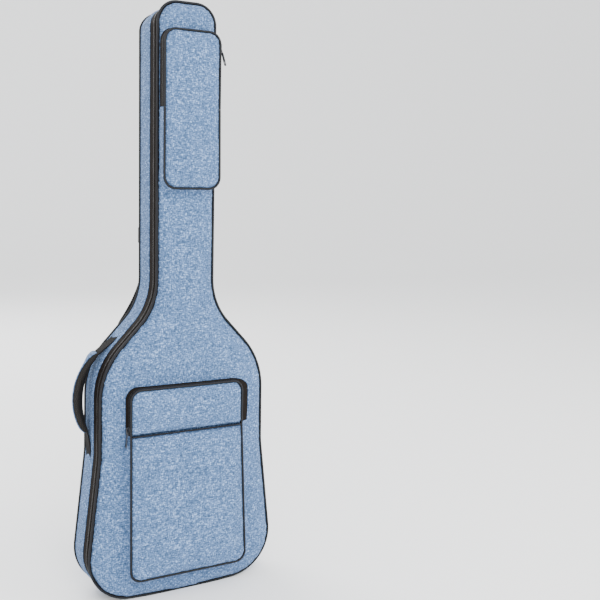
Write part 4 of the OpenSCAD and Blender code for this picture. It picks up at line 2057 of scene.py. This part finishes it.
@dataclass
class BackTrim:
    """Yoke, hang loop and lower corner patches."""

    shop: Workshop

    def build(self) -> None:
        """Make the trim of the back."""
        self.yoke()
        self.loop()
        self.patches()

    def yoke(self) -> None:
        """The webbing band across the neck."""
        xs = np.linspace(-52.2, 52.2, 40)
        y = [SIZES.back_face + 0.9 - 4.5 * max(0.0, (abs(x) - 40) / 12.2) ** 2 for x in xs]
        centre = np.stack([xs, np.array(y) + 1.2, np.full(40, 642.5)], 1)
        across = np.tile([0.0, 0.0, 1.0], (40, 1))
        grid = ribbon_grid(centre, across, np.full(40, 13.8), np.full(40, 2.2), 9.0, 16)
        piece = grid_object("yoke_band", grid, sharp=35.0)
        self.shop.wardrobe.dress(piece, Slot.WEBBING, ["yoke"], "shell")
        lines = [
            np.stack([xs, np.array(y) + 2.4, np.full(40, z)], 1) for z in (631.5, 653.5)
        ]
        self.shop.stitches("yoke_thread", lines, "shell")

    def loop(self) -> None:
        """Webbing loop: flat at its sewn feet, on edge over the top."""
        count = 60
        t = np.linspace(0, 1, count)
        a = np.pi * t
        lift = np.sin(a) ** 0.72
        x = 23 * np.cos(a) * (1 - 0.16 * np.sin(a))
        z = 659 + 58 * lift
        y = SIZES.back_face + 4.0 + 11.0 * lift
        centre = np.stack([x, y, z], 1)
        turn = np.array([ease((v - 0.2) / 0.55) for v in lift]) * (np.pi / 2)
        across = np.stack([np.cos(turn), np.sin(turn), np.zeros(count)], 1)
        half = 12.5 - 1.5 * lift
        grid = ribbon_grid(centre, across, half, np.full(count, 2.2), 7.0, 14)
        piece = grid_object("loop_webbing", grid, sharp=35.0)
        self.shop.wardrobe.dress(piece, Slot.WEBBING, ["hang_loop"], "hang_loop")

    def patches(self) -> None:
        """Cloth triangles that take the lower webbing."""
        pieces, lines = [], []
        for s in (-1, 1):
            edge = self.shop.outline.run((160, 170), (160, 60), 6.0, True)
            edge = edge[(edge[:, 1] > 79) & (edge[:, 1] < 157)] - [2.6, 0]
            corners = np.vstack([edge, [(148.5, 101), (147.5, 108)]]) * [s, 1]
            ring = resample(corners, 4.0, True)
            rise = pillow(2.2, 3.0, 0.8, 15.0)

            def seat(x: float) -> float:
                """Depth of the panel under the patch."""
                q = min(max((173.0 - abs(x)) / 15.0, 0.0), 1.0)
                return SIZES.depth + 1.0 + 9.6 * math.sqrt(1 - (1 - q) ** 2)

            obj = cushion(
                f"patch_{s}",
                ring,
                lambda d, x, z: seat(x) + 1.0 + rise(d),
                lambda d, x, z: seat(x) - 1.0,
                4.0,
            )
            pieces.append(obj)
            flat = resample(corners, 3.0, True)
            inset = flat + unit(np.array([160.0 * s, 114.0]) - flat) * 3.0
            lines.append(np.array([(x, seat(x) + 4.0, z) for x, z in inset]))
        piece = subdivided(join(pieces, "corner_patches"))
        self.shop.wardrobe.dress(piece, Slot.CLOTH, ["wing_patches"], "shell", 0.2)
        self.shop.stitches("patch_thread", lines, "shell", closed=True)


# ---- studio ------------------------------------------------------------


@dataclass
class Studio:
    """Floor, light and camera."""

    position: tuple[float, float, float] = (-656.7, -1499.4, 752.7)
    yaw: float = -30.806
    pitch: float = 7.529
    roll: float = 1.392
    focal: float = 55.72

    def build(self) -> None:
        """Make the stage."""
        self.floor()
        self.world()
        self.lights()
        self.camera()

    def floor(self) -> None:
        """A pale floor that curves up far behind the bag."""
        rows = [(-9000.0, 0.0), (4200.0, 0.0)]
        turn = np.linspace(0.1, math.pi / 2, 14)
        rows += [(4200 + 1800 * math.sin(a), 1800 - 1800 * math.cos(a)) for a in turn]
        rows.append((6000.0, 9000.0))
        verts = np.array([(x, y, z - 0.6) for y, z in rows for x in (-9000.0, 9000.0)])
        faces = [(2 * k, 2 * k + 1, 2 * k + 3, 2 * k + 2) for k in range(len(rows) - 1)]
        obj = new_object("floor", verts, faces)
        for f in obj.data.polygons:
            f.use_smooth = True
        g = Graph("pale_floor")
        g.feed(g.shader.inputs["Base Color"], (0.90, 0.90, 0.90, 1))
        g.feed(g.shader.inputs["Roughness"], 0.9)
        obj.data.materials.append(g.material)

    def world(self) -> None:
        """Even pale surroundings."""
        world = bpy.data.worlds.new("studio")
        world.use_nodes = True
        world.node_tree.nodes["Background"].inputs[0].default_value = (0.97, 0.985, 1.0, 1)
        world.node_tree.nodes["Background"].inputs[1].default_value = 1.75
        bpy.context.scene.world = world

    def lights(self) -> None:
        """A large soft key, a fill and a light from behind."""
        for name, place, size, power in (
            ("key", (-700, -2800, 2300), 2.2, 130.0),
            ("fill", (2300, -2200, 1500), 2.4, 70.0),
            ("rear", (-600, 3000, 2400), 2.2, 120.0),
        ):
            data = bpy.data.lights.new(name, "AREA")
            data.size = size
            data.energy = power
            lamp = bpy.data.objects.new(name, data)
            spot = Vector(to_row(np.array(place, float)))
            aim = Vector(to_row(np.array([0.0, 40.0, 520.0]))) - spot
            lamp.matrix_world = Matrix.Translation(spot) @ aim.to_track_quat("-Z", "Y").to_matrix().to_4x4()
            bpy.context.scene.collection.objects.link(lamp)

    def camera(self) -> None:
        """The main camera."""
        a, e, r = (math.radians(v) for v in (self.yaw, self.pitch, self.roll))
        back = Vector((math.sin(a) * math.cos(e), -math.cos(a) * math.cos(e), math.sin(e)))
        right = (-back).cross(Vector((0, 0, 1))).normalized()
        up = right.cross(-back)
        x = right * math.cos(r) + up * math.sin(r)
        y = up * math.cos(r) - right * math.sin(r)
        data = bpy.data.cameras.new("camera")
        data.lens = self.focal
        data.sensor_width = 36.0
        data.clip_end = 50.0
        cam = bpy.data.objects.new("camera", data)
        turn = Matrix((x, y, back)).transposed().to_4x4()
        cam.matrix_world = Matrix.Translation(Vector(to_row(np.array(self.position)))) @ turn
        bpy.context.scene.collection.objects.link(cam)
        bpy.context.scene.camera = cam


def main() -> None:
    """Build the bag and the studio, logging each piece's face count."""
    logging.basicConfig(level=logging.INFO, format="%(message)s")
    wardrobe = Wardrobe()
    shop = Workshop(
        wardrobe,
        BagOutline(),
        DetailRun(Repeat.STITCH, wardrobe.material(Slot.PIPING)),
        DetailRun(Repeat.TOOTH, wardrobe.material(Slot.COIL)),
    )
    Studio().build()
    Panels(shop).build()
    Gusset(shop).build()
    Pocket(
        shop,
        "lower",
        half=110.0,
        bottom=45.0,
        top=385.0,
        radius=18.0,
        fold=306.0,
        flare=Flare(3.2, 10.0, 14.0, 3.0, 8.5),
        crossbar=True,
        bulge=0.4,
        taper=11.0,
    ).build()
    Pocket(
        shop,
        "upper",
        half=50.3,
        bottom=730.0,
        top=991.0,
        radius=19.0,
        fold=864.0,
        flare=Flare(0.5, 0.5, 1.0, 3.0, 7.0),
        crossbar=False,
        bulge=1.6,
        taper=1.5,
        wall_out=-28.5,
        wall_cut=-21.3,
        skin=-14.0,
    ).build()
    ZipSlider(shop, "main", (51.7, 18.0, 984.0), 1).build()
    ZipSlider(shop, "upper", (49.8, -21.4, 970.0), 1, 0.3).build()
    ZipSlider(shop, "lower", (-110.3, -24.7, 315.0), -1).build()
    Strap(shop, -1, "left").build()
    Strap(shop, 1, "right").build()
    SideHandle(shop).build()
    BackTrim(shop).build()


if __name__ == "__main__":
    main()
